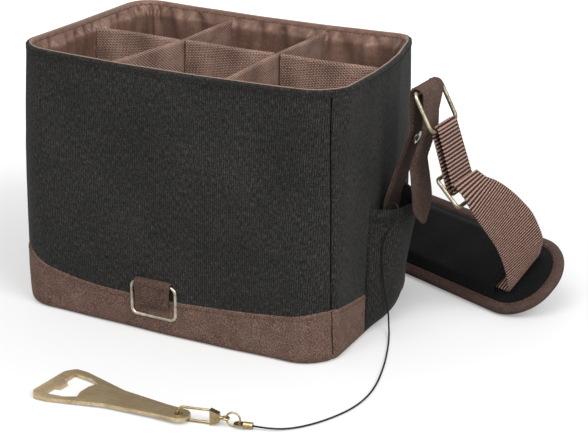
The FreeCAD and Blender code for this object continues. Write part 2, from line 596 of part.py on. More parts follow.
# Slider: an oblong wire frame with a bar across its middle, which the loop turns round.
slider_turn = turn_y(val("slider_slope") - 90).multiply(FreeCAD.Rotation(V(0, 0, 1), 90))
slider_place = FreeCAD.Placement(slider_at, slider_turn)
frame_ring = wire_ring("slider_frame", "Sizes.slider_wide", "Sizes.slider_long", "Sizes.slider_wire",
                       "Sizes.slider_corner", FreeCAD.Placement(V(0, 0, 0), FreeCAD.Rotation(V(0, 0, 1), 0)))
slider_bar = cylinder("slider_bar", "Sizes.slider_bar / 2", "Sizes.slider_wide",
                      x="-Sizes.slider_wide / 2", turn=ALONG_X)
slider = keep("slider", boolean("Fuse", "slider", frame_ring, slider_bar))
slider.Placement = slider_place

# Shoulder pad, built flat about its own middle and then stood on its lower edge, leaning back.
lean = math.radians(val("pad_lean"))
edge_reach = val("pad_width") / 2 - val("pad_binding_round")
pad_z = edge_reach * math.cos(lean) + val("pad_binding_thick") / 2 * math.sin(lean)
pad_turn = FreeCAD.Rotation(V(0, 0, 1), val("pad_heading")).multiply(
    FreeCAD.Rotation(V(1, 0, 0), 90 - val("pad_lean")))
pad_place = FreeCAD.Placement(V(val("pad_x"), val("pad_y"), pad_z), pad_turn)


def pad_plan(name, inset, level):
    return plan(name, "Sizes.pad_length - 2 * " + inset, "Sizes.pad_width - 2 * " + inset,
                "Sizes.pad_end_radius - " + inset, level)


IN = "Sizes.pad_binding"
pad_body = loft("pad_body", [
    pad_plan("pad_low_crown", "(" + IN + " + Sizes.pad_crown_inset)", "-Sizes.pad_thick / 2"),
    pad_plan("pad_low_mid", "(" + IN + " + Sizes.pad_mid_inset)", "-Sizes.pad_mid_thick / 2"),
    pad_plan("pad_low_edge", IN, "-Sizes.pad_edge_thick / 2"),
    pad_plan("pad_high_edge", IN, "Sizes.pad_edge_thick / 2"),
    pad_plan("pad_high_mid", "(" + IN + " + Sizes.pad_mid_inset)", "Sizes.pad_mid_thick / 2"),
    pad_plan("pad_high_crown", "(" + IN + " + Sizes.pad_crown_inset)", "Sizes.pad_thick / 2")])
keep("pad_body", pad_body)
pad_body.Placement = pad_place
binding_outer = loft("binding_outer", [
    pad_plan("binding_low", "Sizes.pad_binding_round", "-Sizes.pad_binding_thick / 2"),
    pad_plan("binding_low_side", "0", "-Sizes.pad_binding_thick / 2 + Sizes.pad_binding_round"),
    pad_plan("binding_high_side", "0", "Sizes.pad_binding_thick / 2 - Sizes.pad_binding_round"),
    pad_plan("binding_high", "Sizes.pad_binding_round", "Sizes.pad_binding_thick / 2")])
binding_room = extrude("binding_room", pad_plan("binding_inner", IN, "-Sizes.pad_binding_thick"),
                       "2 * Sizes.pad_binding_thick")
pad_binding = keep("pad_binding", boolean("Cut", "pad_binding", binding_outer, binding_room))
pad_binding.Placement = pad_place

# Sleeve: a canvas layer over the pad's face, open at both ends for the webbing.
sleeve_sketch = doc.addObject("Sketcher::SketchObject", "sleeve_section")
web_room = [(0.5, "pad_thick"), (1, "web_thick"), (2, "sleeve_gap")]
hem_side = [(0.5, "pad_width"), (-1, "pad_binding"), (-1, "sleeve_edge")]
hem_less = [(-share, alias) for share, alias in hem_side]
low_edge = [(0.5, "pad_edge_thick"), (1, "sleeve_edge"), (-1, "sleeve_gap")]
flat_side, flat_less = [(0.5, "sleeve_flat")], [(-0.5, "sleeve_flat")]
skin = [(1, "sleeve_thick")]
fill_polygon(sleeve_sketch, [
    (hem_less, low_edge), (flat_less, web_room), (flat_side, web_room), (hem_side, low_edge),
    (hem_side, low_edge + skin), (flat_side, web_room + skin), (flat_less, web_room + skin),
    (hem_less, low_edge + skin)])
sleeve_solid = extrude("pad_sleeve", sleeve_sketch, "Sizes.pad_length - 2 * Sizes.sleeve_inset")
sleeve = keep("pad_sleeve", sleeve_solid)
upright = FreeCAD.Rotation(V(1, 1, 1), 120)
sleeve.Placement = pad_place.multiply(FreeCAD.Placement(
    V(-val("pad_length") / 2 + val("sleeve_inset"), 0, 0), upright))

# Long webbing: flat ribbon sections lofted along the strap's way from the slider to the pad,
# and from the pad's other end round the back to the left ring.
pad_u = pad_turn.multVec(V(1, 0, 0))
pad_v = pad_turn.multVec(V(0, 1, 0))
pad_n = pad_turn.multVec(V(0, 0, 1))
face_lift = val("pad_thick") / 2 + val("sleeve_gap") + val("web_thick") / 2
right_tip = pad_place.Base + pad_u * (val("pad_length") / 2) + pad_n * face_lift
left_tip = pad_place.Base - pad_u * (val("pad_length") / 2) + pad_n * face_lift


def ribbon(label, stations, straight):
    """Ribbon through rectangles square to the way; each station is a place and a width direction."""
    sections = []
    half, thin = val("web_width") / 2, val("web_thick") / 2
    last = len(stations) - 1
    for k, (place, across) in enumerate(stations):
        way = (stations[min(k + 1, last)][0] - stations[max(k - 1, 0)][0]).normalize()
        side = (across - way * across.dot(way)).normalize()
        up = way.cross(side)
        sections.append(Part.makePolygon([
            place - side * half - up * thin, place + side * half - up * thin,
            place + side * half + up * thin, place - side * half + up * thin,
            place - side * half - up * thin]))
    return feature(label, Part.makeLoft(sections, True, straight))


def finer(stations, parts):
    """The same way with stations added between, each on a smooth bend through its neighbours."""
    places = [place for place, across in stations]
    last = len(places) - 1
    out = []
    for k in range(last):
        leave = (places[k + 1] - places[max(k - 1, 0)]) * (0.5 if k else 1)
        arrive = (places[min(k + 2, last)] - places[k]) * (0.5 if k + 2 <= last else 1)
        for step in range(parts):
            t = step / parts
            start = places[k] * (2 * t ** 3 - 3 * t ** 2 + 1) + leave * (t ** 3 - 2 * t ** 2 + t)
            stop = places[k + 1] * (3 * t ** 2 - 2 * t ** 3) + arrive * (t ** 3 - t ** 2)
            out.append((start + stop, stations[k][1] * (1 - t) + stations[k + 1][1] * t))
    out.append(stations[last])
    return out


slope = math.radians(val("loop_slope"))
loop_way = V(math.cos(slope), 0, -math.sin(slope))
loop_out = V(math.sin(slope), 0, math.cos(slope))
skew = math.radians(val("loop_slope") - val("slider_slope"))
loop_rim = val("ring_wire") / 2 + val("web_clear") + val("web_thick")
web_lift = loop_rim + val("web_clear") + val("web_thick") / 2
web_root = slider_at + loop_out * web_lift - loop_way * val("web_start")
# The webbing leaves over the slider's lower bar.
bar_top = val("slider_long") / 2 * math.sin(skew) + val("slider_wire") / 2
over_lift = bar_top + val("web_clear") + val("web_thick") / 2 + val("web_overlap")
web_over = slider_at + loop_way * (val("slider_long") / 2 * math.cos(skew)) + loop_out * over_lift
landing = right_tip - pad_u * val("web_entry")
# Shares: out along the bulge, back and down from the slider to the landing, then the width's direction.
RIGHT_WEB_SHARES = [
    (0.31, 0.131, 0.074, 0.10, 0.93, 0.35),
    (0.69, 0.355, 0.229, 0.25, 0.80, 0.55),
    (0.92, 0.605, 0.465, 0.42, 0.68, 0.60),
    (0.99, 0.841, 0.750, 0.53, 0.62, 0.57),
]
right_stations = [(web_over, V(0, 1, 0))]
for out, back, down, ax, ay, az in RIGHT_WEB_SHARES:
    spot = V(web_over.x + out * val("web_bulge"), web_over.y + back * (landing.y - web_over.y),
             web_over.z + down * (landing.z - web_over.z))
    right_stations.append((spot, V(ax, ay, az)))
tuck = val("web_tuck")
LANDING_SHARES = [(0.04, 0.38), (-0.10, 0.10), (-0.24, 0.01), (-0.40, 0.0),
                  (-0.60, 0.0), (-0.80, 0.0), (-1.00, 0.0)]
touch_down = []
for along, lift in LANDING_SHARES:
    touch_down.append((landing + pad_u * (along * tuck) + pad_n * (lift * tuck), pad_v))
right_stations = finer(right_stations + touch_down[:1], 4) + touch_down[1:]
right_stations.insert(0, (web_root, V(0, 1, 0)))
ribbon("right_webbing", right_stations, True)

left_leave = left_tip + pad_u * (val("sleeve_inset") + val("web_thick"))
left_root = left_end + V(0, 0, -(loop_rim + val("web_clear")))
# Shares of the way from the pad's left end to the left ring, then the width's direction.
LEFT_WEB_SHARES = [
    (0.17, -0.055, 0.00, 0.25, 0.75, 0.60),
    (0.38, -0.060, 0.00, 0.00, 0.78, 0.62),
    (0.60, 0.020, 0.02, -0.20, 0.68, 0.70),
    (0.80, 0.170, 0.08, -0.30, 0.60, 0.74),
    (0.95, 0.380, 0.22, -0.20, 0.55, 0.80),
    (1.02, 0.620, 0.42, 0.00, 0.55, 0.83),
    (1.03, 0.850, 0.62, 0.00, 0.65, 0.75),
    (1.01, 0.970, 0.82, 0.00, 0.83, 0.55),
    (1.00, 1.000, 0.93, 0.00, 0.97, 0.20),
    (1.00, 1.000, 1.00, 0.00, 1.00, 0.00),
]
begin = left_tip - pad_u * (2 * val("web_thick"))
left_stations = [(left_leave, pad_v)]
for share in (0.75, 0.5, 0.25):
    left_stations.append((left_tip + pad_u * (val("sleeve_inset") * share), pad_v))
left_stations.append((begin, pad_v))
for ex, ey, ez, ax, ay, az in LEFT_WEB_SHARES:
    spot = V(begin.x + ex * (left_root.x - begin.x), begin.y + ey * (left_root.y - begin.y),
             begin.z + ez * (left_root.z - begin.z))
    left_stations.append((spot, V(ax, ay, az)))
ribbon("left_webbing", left_stations, False)

# Tether clip, built along +X from the hook's nose and then turned to lie as it is left.
chain_place = FreeCAD.Placement(V(val("chain_x"), val("chain_y"), 0),
                                FreeCAD.Rotation(V(0, 0, 1), val("chain_heading")))
axis = val("chain_axis")
hook_low = val("hook_wire") / 2
nose_r = axis - hook_low
hook_path = [V(val("hook_reach"), 0, hook_low), V(0, 0, hook_low), V(0, 0, 2 * axis - hook_low),
             V(val("hook_nose"), 0, 2 * axis - hook_low)]
hook_wire = rounded_path(hook_path, [nose_r, nose_r])
hook_disc = Part.Wire(Part.makeCircle(hook_low, hook_path[0], V(-1, 0, 0)))
hook = feature("clip_hook", hook_wire.makePipeShell([hook_disc], True, False))
hook.Placement = chain_place

gate = keep("clip_gate", cylinder("clip_gate", "Sizes.gate_wire / 2",
                                  "Sizes.hook_reach - Sizes.hook_nose - 2 * Sizes.gate_gap", turn=ALONG_X))
for prop in ("x", "y", "z"):
    gate.setExpression("Placement.Base." + prop, None)
gate_at = V(val("hook_nose") + val("gate_gap"), 0, 2 * axis - hook_low)
gate.Placement = chain_place.multiply(FreeCAD.Placement(gate_at, FreeCAD.Rotation(*ALONG_X)))

clip_body = doc.addObject("PartDesign::Body", "clip_body_solid")
clip_sketch = clip_body.newObject("Sketcher::SketchObject", "clip_outline")
clip_sketch.AttachmentSupport = [(plane_of(clip_body, "XZ_Plane"), "")]
clip_sketch.MapMode = "FlatFace"
tall, neck = [(0.5, "clip_tall")], [(0.5, "clip_neck_tall")]
tall_less, neck_less = [(-0.5, "clip_tall")], [(-0.5, "clip_neck_tall")]
fill_polygon(clip_sketch, [([(1, "hook_reach")], tall_less), ([(1, "hook_reach"), (1, "clip_long")], neck_less),
                           ([(1, "hook_reach"), (1, "clip_long")], neck), ([(1, "hook_reach")], tall)])
clip_pad = clip_body.newObject("PartDesign::Pad", "clip_pad")
clip_pad.Profile = clip_sketch
clip_pad.setExpression("Length", "Sizes.clip_wide")
clip_pad.Midplane = True
keep("clip_body", clip_body)
clip_body.Placement = chain_place.multiply(FreeCAD.Placement(V(0, 0, axis), FreeCAD.Rotation()))

POST_X = "(Sizes.hook_reach + Sizes.clip_long + Sizes.post_gap)"
EYE_X = "(" + POST_X + " + Sizes.post_long + Sizes.eye_radius)"
post = cylinder("swivel_post", "Sizes.post_diameter / 2", "Sizes.post_long + Sizes.eye_wire / 2", POST_X,
                "0", "Sizes.chain_axis", turn=ALONG_X)
eye_ring = doc.addObject("Part::Torus", "swivel_ring")
eye_ring.setExpression("Radius1", "Sizes.eye_radius")
eye_ring.setExpression("Radius2", "Sizes.eye_wire / 2")
eye_ring.setExpression("Placement.Base.x", EYE_X)
eye_ring.setExpression("Placement.Base.z", "Sizes.chain_axis")
eye_bore = cylinder("swivel_bore", "Sizes.eye_radius - Sizes.eye_wire / 2", "2 * Sizes.eye_wire", EYE_X, "0",
                    "Sizes.chain_axis - Sizes.eye_wire")
post_trim = boolean("Cut", "swivel_post_trim", post, eye_bore)
eye = keep("swivel_eye", boolean("Fuse", "swivel_eye", post_trim, eye_ring))
eye.Placement = chain_place
eye_x = (val("hook_reach") + val("clip_long") + val("post_gap") + val("post_long") + val("eye_radius"))

split_x = (eye_x + val("eye_radius") - val("eye_wire") / 2 - val("link_gap") - val("split_wire") / 2
           + val("split_radius"))
split = doc.addObject("Part::Torus", "split_ring")
split.setExpression("Radius1", "Sizes.split_radius")
split.setExpression("Radius2", "Sizes.split_wire / 2")
keep("split_ring", split)
split.Placement = chain_place.multiply(FreeCAD.Placement(V(split_x, 0, axis), FreeCAD.Rotation(V(1, 0, 0), 90)))

# Crimped end: a barrel on the cord with a flat tongue, pierced for the split ring.
barrel_z = val("ferrule_diameter") / 2
drop = (axis - barrel_z) / val("split_radius")
pierce_x = split_x + val("split_radius") * math.sqrt(1 - drop * drop)
tongue_solid = Part.makeBox(val("tongue_long") + val("tongue_wide") / 2, val("tongue_wide"), val("tongue_thick"),
                            V(pierce_x, -val("tongue_wide") / 2, barrel_z - val("tongue_thick") / 2))
tongue_round = Part.makeCylinder(val("tongue_wide") / 2, val("tongue_thick"),
                                 V(pierce_x, 0, barrel_z - val("tongue_thick") / 2))
tongue_bore = Part.makeCylinder(val("tongue_hole") / 2, 2 * val("tongue_thick"),
                                V(pierce_x, 0, barrel_z - val("tongue_thick")))
barrel_x = pierce_x + val("tongue_long")
barrel = Part.makeCylinder(barrel_z, val("ferrule_long"), V(barrel_x, 0, barrel_z), V(1, 0, 0))
crimp = barrel.fuse(tongue_solid.fuse(tongue_round).cut(tongue_bore)).removeSplitter()
crimp_end = feature("cord_ferrule", crimp)
crimp_end.Placement = chain_place
cord_end = chain_place.multVec(V(barrel_x + val("ferrule_long"), 0, barrel_z))
cord_way = chain_place.Rotation.multVec(V(1, 0, 0))

# Flat opener: outline and mouth in shares of its length and head width.
OPENER_SHARES = [(0.000, 0.36), (0.045, 0.50), (0.130, 0.49), (0.480, 0.245), (0.800, 0.165), (0.960, 0.150),
                 (1.000, 0.080)]
MOUTH_SHARES = [(0.075, 0.37), (0.075, 0.11), (0.112, 0.08)]
MOUTH_BACK_SHARES = [(0.262, 0.10), (0.285, 0.24), (0.215, 0.33)]
opener_body = doc.addObject("PartDesign::Body", "opener_solid")


def mirrored(shares, length, width):
    upper = [([(x, length)] if x else [], [(y, width)]) for x, y in shares]
    lower = [([(x, length)] if x else [], [(-y, width)]) for x, y in reversed(shares)]
    return upper + lower


opener_sketch = opener_body.newObject("Sketcher::SketchObject", "opener_outline")
opener_sketch.AttachmentSupport = [(plane_of(opener_body, "XY_Plane"), "")]
opener_sketch.MapMode = "FlatFace"
fill_polygon(opener_sketch, mirrored(OPENER_SHARES, "opener_length", "opener_head"))
plate = opener_body.newObject("PartDesign::Pad", "opener_plate")
plate.Profile = opener_sketch
plate.setExpression("Length", "Sizes.opener_thick")
doc.recompute()


def upright_edges(shape):
    """Names of the straight edges that run through the plate's thickness."""
    names = []
    for number, edge in enumerate(shape.Edges, start=1):
        ends = [vertex.Point for vertex in edge.Vertexes]
        if len(ends) == 2 and abs(ends[0].z - ends[1].z) > val("opener_thick") / 2:
            names.append("Edge%d" % number)
    return names


corner_round = opener_body.newObject("PartDesign::Fillet", "opener_corners")
corner_round.Base = (plate, upright_edges(plate.Shape))
corner_round.setExpression("Radius", "Sizes.opener_round")
doc.recompute()
solid_before = corner_round.Shape.Volume
mouth_sketch = opener_body.newObject("Sketcher::SketchObject", "opener_mouth")
mouth_sketch.AttachmentSupport = [(plane_of(opener_body, "XY_Plane"), "")]
mouth_sketch.MapMode = "FlatFace"
front_edge = [([(x, "opener_length")], [(y, "opener_head")]) for x, y in MOUTH_SHARES]
front_rest = [([(x, "opener_length")], [(-y, "opener_head")]) for x, y in reversed(MOUTH_SHARES)]
back_rest = [([(x, "opener_length")], [(-y, "opener_head")]) for x, y in reversed(MOUTH_BACK_SHARES)]
back_edge = [([(x, "opener_length")], [(y, "opener_head")]) for x, y in MOUTH_BACK_SHARES]
fill_polygon(mouth_sketch, front_edge + front_rest + back_rest + back_edge)
mouth = opener_body.newObject("PartDesign::Pocket", "opener_mouth_cut")
mouth.Profile = mouth_sketch
mouth.Type = "ThroughAll"
mouth.Midplane = True
hole_sketch = opener_body.newObject("Sketcher::SketchObject", "opener_hole_sketch")
hole_sketch.AttachmentSupport = [(plane_of(opener_body, "XY_Plane"), "")]
hole_sketch.MapMode = "FlatFace"
hole_sketch.addGeometry(Part.Circle(V(val("opener_length") - val("opener_hole_inset"), 0, 0), V(0, 0, 1),
                                    val("opener_hole") / 2), False)
bind(hole_sketch, Sketcher.Constraint("Diameter", 0, val("opener_hole")), "Sizes.opener_hole")
hole_sketch.addConstraint(Sketcher.Constraint("PointOnObject", 0, 3, -1))
bind(hole_sketch, Sketcher.Constraint("DistanceX", -1, 1, 0, 3, val("opener_length")),
     "Sizes.opener_length - Sizes.opener_hole_inset")
hole = opener_body.newObject("PartDesign::Pocket", "opener_hole_cut")
hole.Profile = hole_sketch
hole.Type = "ThroughAll"
hole.Midplane = True
doc.recompute()
if hole.Shape.Volume >= solid_before:
    raise RuntimeError("the opener's mouth was not cut")
keep("bottle_opener", opener_body)
# The hook's wire stands in the hole, and the head rests on the floor.
wire_level = hook_low * 2 + val("link_gap") + val("opener_thick") / 2
wire_x = nose_r - math.sqrt(nose_r ** 2 - (wire_level - axis) ** 2)
hole_spot = chain_place.multVec(V(wire_x, 0, 0))
opener_turn = FreeCAD.Rotation(V(0, 0, 1), val("opener_heading")).multiply(
    FreeCAD.Rotation(V(0, 1, 0), -val("opener_tilt")))
hole_local = V(val("opener_length") - val("opener_hole_inset"), 0, 0)
opener_corner = hole_spot - opener_turn.multVec(hole_local)
opener_corner.z = 0
opener_body.Placement = FreeCAD.Placement(opener_corner, opener_turn)

# Tether cord: from its anchor in the pocket over the mouth, down the pocket and across the floor.
anchor_back = val("bottom_width") / 2 + val("pocket_gap") + val("pocket_wall") + val("layer_gap")
ANCHOR_SPOT = V(anchor_back, val("anchor_side"), val("anchor_level"))
anchor = Part.makeBox(val("anchor_thick"), val("anchor_width"), val("anchor_tall"),
                      ANCHOR_SPOT - V(0, val("anchor_width") / 2, 0))
feature("cord_anchor", anchor)
cord_r = val("cord_diameter") / 2
cord_start = ANCHOR_SPOT + V(val("anchor_thick") / 2, 0, val("anchor_tall") + val("link_gap"))
CORD_ROUTE = [
    (131.2, -9.4, 72.5), (134.6, -10.8, 87.0), (136.3, -11.6, 99.8), (146.0, -12.6, 100.0),
    (143.9, -14.0, 87.4), (135.6, -15.6, 74.0), (134.4, -14.6, 54.0), (135.0, -10.4, 31.0),
    (135.7, -5.4, 14.0), (136.3, -5.6, 3.4), (141.0, -14.6, 0.65), (149.0, -32.5, 0.65),
    (160.5, -62.0, 0.65), (171.0, -98.0, 0.65),
    (172.0, -127.0, 0.65), (164.0, -153.0, 0.65), (152.5, -172.0, 0.65), (140.2, -182.1, 1.4),
]
route = [cord_start] + [V(*spot) for spot in CORD_ROUTE] + [cord_end]
bends = []
for k in range(1, len(route) - 1):
    back = route[k - 1] - route[k]
    ahead = route[k + 1] - route[k]
    angle = back.getAngle(ahead)
    shorter = min(back.Length, ahead.Length)
    bends.append(0.45 * shorter * math.tan(angle / 2))
print("cord radii", [round(r, 1) for r in bends])
cord_path = rounded_path(route, bends)
cord_disc = Part.Wire(Part.makeCircle(cord_r, route[0], route[1] - route[0]))
cord = cord_path.makePipeShell([cord_disc], True, False)
print("cord length", round(cord_path.Length, 1), "volume share",
      round(cord.Volume / (math.pi * cord_r ** 2 * cord_path.Length), 4))
feature("tether_cord", cord)

doc.recompute()
for obj in doc.Objects:
    if "Invalid" in obj.State or "Error" in obj.State:
        raise RuntimeError("failed: " + obj.Name)
os.makedirs("parts", exist_ok=True)
for label, obj in nodes.items():
    shape = obj.Shape
    if shape.isNull() or not shape.isValid() or not shape.Solids:
        raise RuntimeError("bad shape: " + label)
    counts = (label, len(shape.Solids), len(shape.Faces), shape.Volume)
    print("%-22s solids %d faces %3d volume %9.1f" % counts)
    shape.exportStep("parts/%s.step" % label)
for label, spot in (("right bar", right_bar), ("right low", right_low), ("left bar", left_bar),
                    ("left low", left_low), ("slider", slider_at), ("front bar", front_bar),
                    ("landing", landing), ("web root", web_root), ("web over", web_over),
                    ("hook wire", chain_place.multVec(V(wire_x, 0, axis))),
                    ("pierce", chain_place.multVec(V(pierce_x, 0, barrel_z))), ("cord end", cord_end),
                    ("left root", left_root), ("left leave", left_leave)):
    print("%-10s %.2f %.2f %.2f" % (label, spot.x, spot.y, spot.z))
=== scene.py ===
# %% [markdown]
# # A divided bottle caddy
# A padded canvas carrier with a suede foot band, a shoulder strap on two side rings and a flat
# opener on a tether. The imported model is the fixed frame; this lesson dresses it with cloth,
# suede, webbing and brass. All lengths are metres, in the frame of the solids.

# %% load the frame
import bpy
import math
import numpy as np
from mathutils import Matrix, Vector


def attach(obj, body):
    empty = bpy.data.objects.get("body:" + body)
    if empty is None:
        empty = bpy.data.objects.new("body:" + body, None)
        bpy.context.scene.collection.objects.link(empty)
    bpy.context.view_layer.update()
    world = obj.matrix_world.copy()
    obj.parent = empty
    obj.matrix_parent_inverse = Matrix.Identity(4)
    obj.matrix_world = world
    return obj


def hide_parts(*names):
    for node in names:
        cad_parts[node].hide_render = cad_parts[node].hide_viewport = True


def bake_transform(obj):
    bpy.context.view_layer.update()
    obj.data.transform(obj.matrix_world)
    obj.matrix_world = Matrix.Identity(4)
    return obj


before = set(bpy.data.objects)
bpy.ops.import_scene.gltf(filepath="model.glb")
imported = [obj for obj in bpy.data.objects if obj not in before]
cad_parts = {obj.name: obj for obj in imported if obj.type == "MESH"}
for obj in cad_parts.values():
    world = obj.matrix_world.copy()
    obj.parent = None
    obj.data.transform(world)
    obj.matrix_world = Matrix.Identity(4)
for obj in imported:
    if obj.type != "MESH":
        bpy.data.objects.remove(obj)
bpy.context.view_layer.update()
MM = 0.001
scene = bpy.context.scene

# %% [markdown]
# ## Camera
# The camera stands where a fit to the bag's rim and foot put it: a long lens, a little above,
# seen from the right front corner. It could be placed by eye; the fit keeps the edges of the
# model over the same edges of the photograph.

# %% camera
YAW, PITCH = 0.50584, 0.35668
LENS_MM, SENSOR_MM = 111.54, 36.0
CAMERA_AT = (0.65381, -1.07930, 0.52754)
forward = Vector((-math.sin(YAW) * math.cos(PITCH), math.cos(YAW) * math.cos(PITCH), -math.sin(PITCH)))
camera_data = bpy.data.cameras.new("photo_camera")
camera_data.lens = LENS_MM
camera_data.sensor_width = SENSOR_MM
camera_data.sensor_fit = "HORIZONTAL"
camera = bpy.data.objects.new("photo_camera", camera_data)
camera.location = CAMERA_AT
camera.rotation_mode = "QUATERNION"
camera.rotation_quaternion = forward.to_track_quat("-Z", "Y")
scene.collection.objects.link(camera)
scene.camera = camera
scene.view_settings.view_transform = "Standard"
print("camera looks along", [round(c, 3) for c in forward])

# %% [markdown]
# ## Helpers for shader nodes
# World, floor and finishes are all trees of shader nodes. They could be wired by hand in the
# shader editor; short functions that add one node each keep a tree readable as text.


# %% node helper
def add_node(tree, kind, inputs=None, **settings):
    """One shader node: settings are its properties, inputs its sockets by name or number."""
    made = tree.nodes.new(kind)
    for key, value in settings.items():
        setattr(made, key, value)
    for key, value in (inputs or {}).items():
        if isinstance(value, bpy.types.NodeSocket):
            tree.links.new(value, made.inputs[key])
        else:
            made.inputs[key].default_value = value
    return made


def math_node(tree, operation, a, b=0.5):
    return add_node(tree, "ShaderNodeMath", {0: a, 1: b}, operation=operation).outputs[0]


def ramp(tree, value, stops):
    """Colour ramp with (place, colour) stops."""
    made = add_node(tree, "ShaderNodeValToRGB", {"Fac": value})
    marks = made.color_ramp.elements
    while len(marks) < len(stops):
        marks.new(0.5)
    for mark, (place, colour) in zip(marks, stops):
        mark.position = place
        mark.color = (*colour, 1.0)
    return made.outputs["Color"]


def blend_colour(tree, share, a, b):
    made = add_node(tree, "ShaderNodeMix", {"Factor": share}, data_type="RGBA")
    for socket, value in ((made.inputs[6], a), (made.inputs[7], b)):
        if isinstance(value, bpy.types.NodeSocket):
            tree.links.new(value, socket)
        else:
            socket.default_value = (*value, 1.0)
    return made.outputs[2]


print("node helpers ready")

# %% [markdown]
# ## World and lamps
# The real one was lit by large soft lights in a white room. A studio picture could wrap round the
# scene; a plain white world and two broad lamps, one over the front and one from the right, do
# the same with a few numbers. The world lights the cloth at a lower level than the eye sees, so
# that a colour looks as it is written.

# %% world and lamps
WORLD_LEVEL = 0.68
WHITE = (1, 1, 1, 1)
world = bpy.data.worlds.new("studio")
scene.world = world
world.use_nodes = True
tree = world.node_tree
tree.nodes.clear()
path = add_node(tree, "ShaderNodeLightPath")
seen = math_node(tree, "MAXIMUM", path.outputs["Is Camera Ray"], path.outputs["Is Glossy Ray"])
seen = math_node(tree, "MAXIMUM", seen, path.outputs["Is Transmission Ray"])
level = add_node(tree, "ShaderNodeMapRange", {"Value": seen, "To Min": WORLD_LEVEL, "To Max": 1.0})
sky = add_node(tree, "ShaderNodeBackground", {"Color": WHITE, "Strength": level.outputs[0]})
add_node(tree, "ShaderNodeOutputWorld", {"Surface": sky.outputs[0]})


def soft_lamp(name, at, target, size, power):
    data = bpy.data.lights.new(name, "AREA")
    data.shape = "DISK"
    data.size = size
    data.energy = power
    lamp = bpy.data.objects.new(name, data)
    lamp.location = at
    lamp.rotation_mode = "QUATERNION"
    lamp.rotation_quaternion = (Vector(target) - Vector(at)).to_track_quat("-Z", "Y")
    scene.collection.objects.link(lamp)


soft_lamp("key_lamp", (0.2, -1.5, 2.0), (0.0, 0.0, 0.1), 1.7, 33)
soft_lamp("side_lamp", (1.7, -0.7, 1.5), (0.1, 0.0, 0.1), 1.4, 31)
print("lamps", len(bpy.data.lights))

# %% [markdown]
# ## Floor
# The bag stands on a pale sweep that runs out to white. A curved backdrop
# would do; one flat sheet is enough when a glow that grows with the distance from the bag lifts
# it to white. Close to the bag the glow is low, which paints a soft grey shade round it. Only the eye sees the
# glow, so it doesn't light the bag from below.

# %% floor
FLOOR_HALF, FLOOR_DROP, FLOOR_GREY = 6.0, 0.0004, 0.58
# painted shade: the glow close to the bag is kept low, so the floor round it stays grey
SHADED_NEAR_GLOW, FAR_GLOW = 0.23, 0.62
GLOW_FROM, GLOW_TO = 0.20, 0.62
floor_mesh = bpy.data.meshes.new("floor")
floor_corners = [(x * FLOOR_HALF, y * FLOOR_HALF, 0) for x, y in ((-1, -1), (1, -1), (1, 1), (-1, 1))]
floor_mesh.from_pydata(floor_corners, [], [(0, 1, 2, 3)])
floor = bpy.data.objects.new("floor", floor_mesh)
floor.location.z = -FLOOR_DROP
scene.collection.objects.link(floor)
floor_paint = bpy.data.materials.new("floor_paint")
floor_paint.use_nodes = True
tree = floor_paint.node_tree
tree.nodes.clear()
path = add_node(tree, "ShaderNodeLightPath")
spot = add_node(tree, "ShaderNodeNewGeometry").outputs["Position"]
away = add_node(tree, "ShaderNodeVectorMath", {0: spot}, operation="LENGTH").outputs["Value"]
# painted shade: the glow grows with the distance from the bag, darkest next to it
lift = add_node(tree, "ShaderNodeMapRange",
                {"Value": away, "From Min": GLOW_FROM, "From Max": GLOW_TO, "To Min": SHADED_NEAR_GLOW,
                 "To Max": FAR_GLOW}, interpolation_type="SMOOTHSTEP")
glow = math_node(tree, "MULTIPLY", path.outputs["Is Camera Ray"], lift.outputs[0])
paint = add_node(tree, "ShaderNodeBsdfDiffuse", {"Color": (FLOOR_GREY, FLOOR_GREY, FLOOR_GREY, 1)})
shine = add_node(tree, "ShaderNodeEmission", {"Color": WHITE, "Strength": glow})
both = add_node(tree, "ShaderNodeAddShader", {0: paint.outputs[0], 1: shine.outputs[0]})
add_node(tree, "ShaderNodeOutputMaterial", {"Surface": both.outputs[0]})
floor.data.materials.append(floor_paint)
print("floor", 2 * FLOOR_HALF, "m")

# %% [markdown]
# ## The tether cord
# The cord leaves the pocket over its mouth, hangs down the pouch and lies on the floor to the
# clip. A swept mesh would look the same, but a curve can still be bent later. So it is one smooth
# spline whose control points are the route of the solid tube; the radius at each point gives it
# its thickness.

# %% cord
CORD_ROUTE_MM = [
    (127.5, -8.0, 60.3), (131.2, -9.4, 72.5), (134.6, -10.8, 87.0), (136.3, -11.6, 99.8),
    (146.0, -12.6, 100.0), (143.9, -14.0, 87.4), (135.6, -15.6, 74.0), (134.4, -14.6, 54.0),
    (135.0, -10.4, 31.0), (135.7, -5.4, 14.0), (136.3, -5.6, 3.4), (141.0, -14.6, 0.65),
    (149.0, -32.5, 0.65), (160.5, -62.0, 0.65), (171.0, -98.0, 0.65), (172.0, -127.0, 0.65),
    (164.0, -153.0, 0.65), (152.5, -172.0, 0.65), (140.2, -182.1, 1.4), (128.63, -184.96, 2.2),
]
CORD_DIAMETER = 0.0012
cord_curve = bpy.data.curves.new("tether_cord_line", "CURVE")
cord_curve.dimensions = "3D"
cord_curve.bevel_depth = 1.0
cord_curve.bevel_resolution = 4
cord_curve.resolution_u = 8
line = cord_curve.splines.new("NURBS")
line.points.add(len(CORD_ROUTE_MM) - 1)
for spot, place in zip(line.points, CORD_ROUTE_MM):
    spot.co = (*[c * MM for c in place], 1.0)
    spot.radius = CORD_DIAMETER / 2
line.order_u = 3
line.use_endpoint_u = True
cord = bpy.data.objects.new("tether_cord_line", cord_curve)
scene.collection.objects.link(cord)
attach(cord, "bag")
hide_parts("tether_cord")
print("cord with", len(CORD_ROUTE_MM), "control points")

# %% [markdown]
# ## Finish helpers
# Each finish is a node tree. Pictures of cloth could be laid on the pieces; noise and waves need
# no file and stay sharp close up. Cloth reads the piece's own UV map, which is laid out in metres
# along the cloth, so that threads follow the piece. Suede and metal read object space.


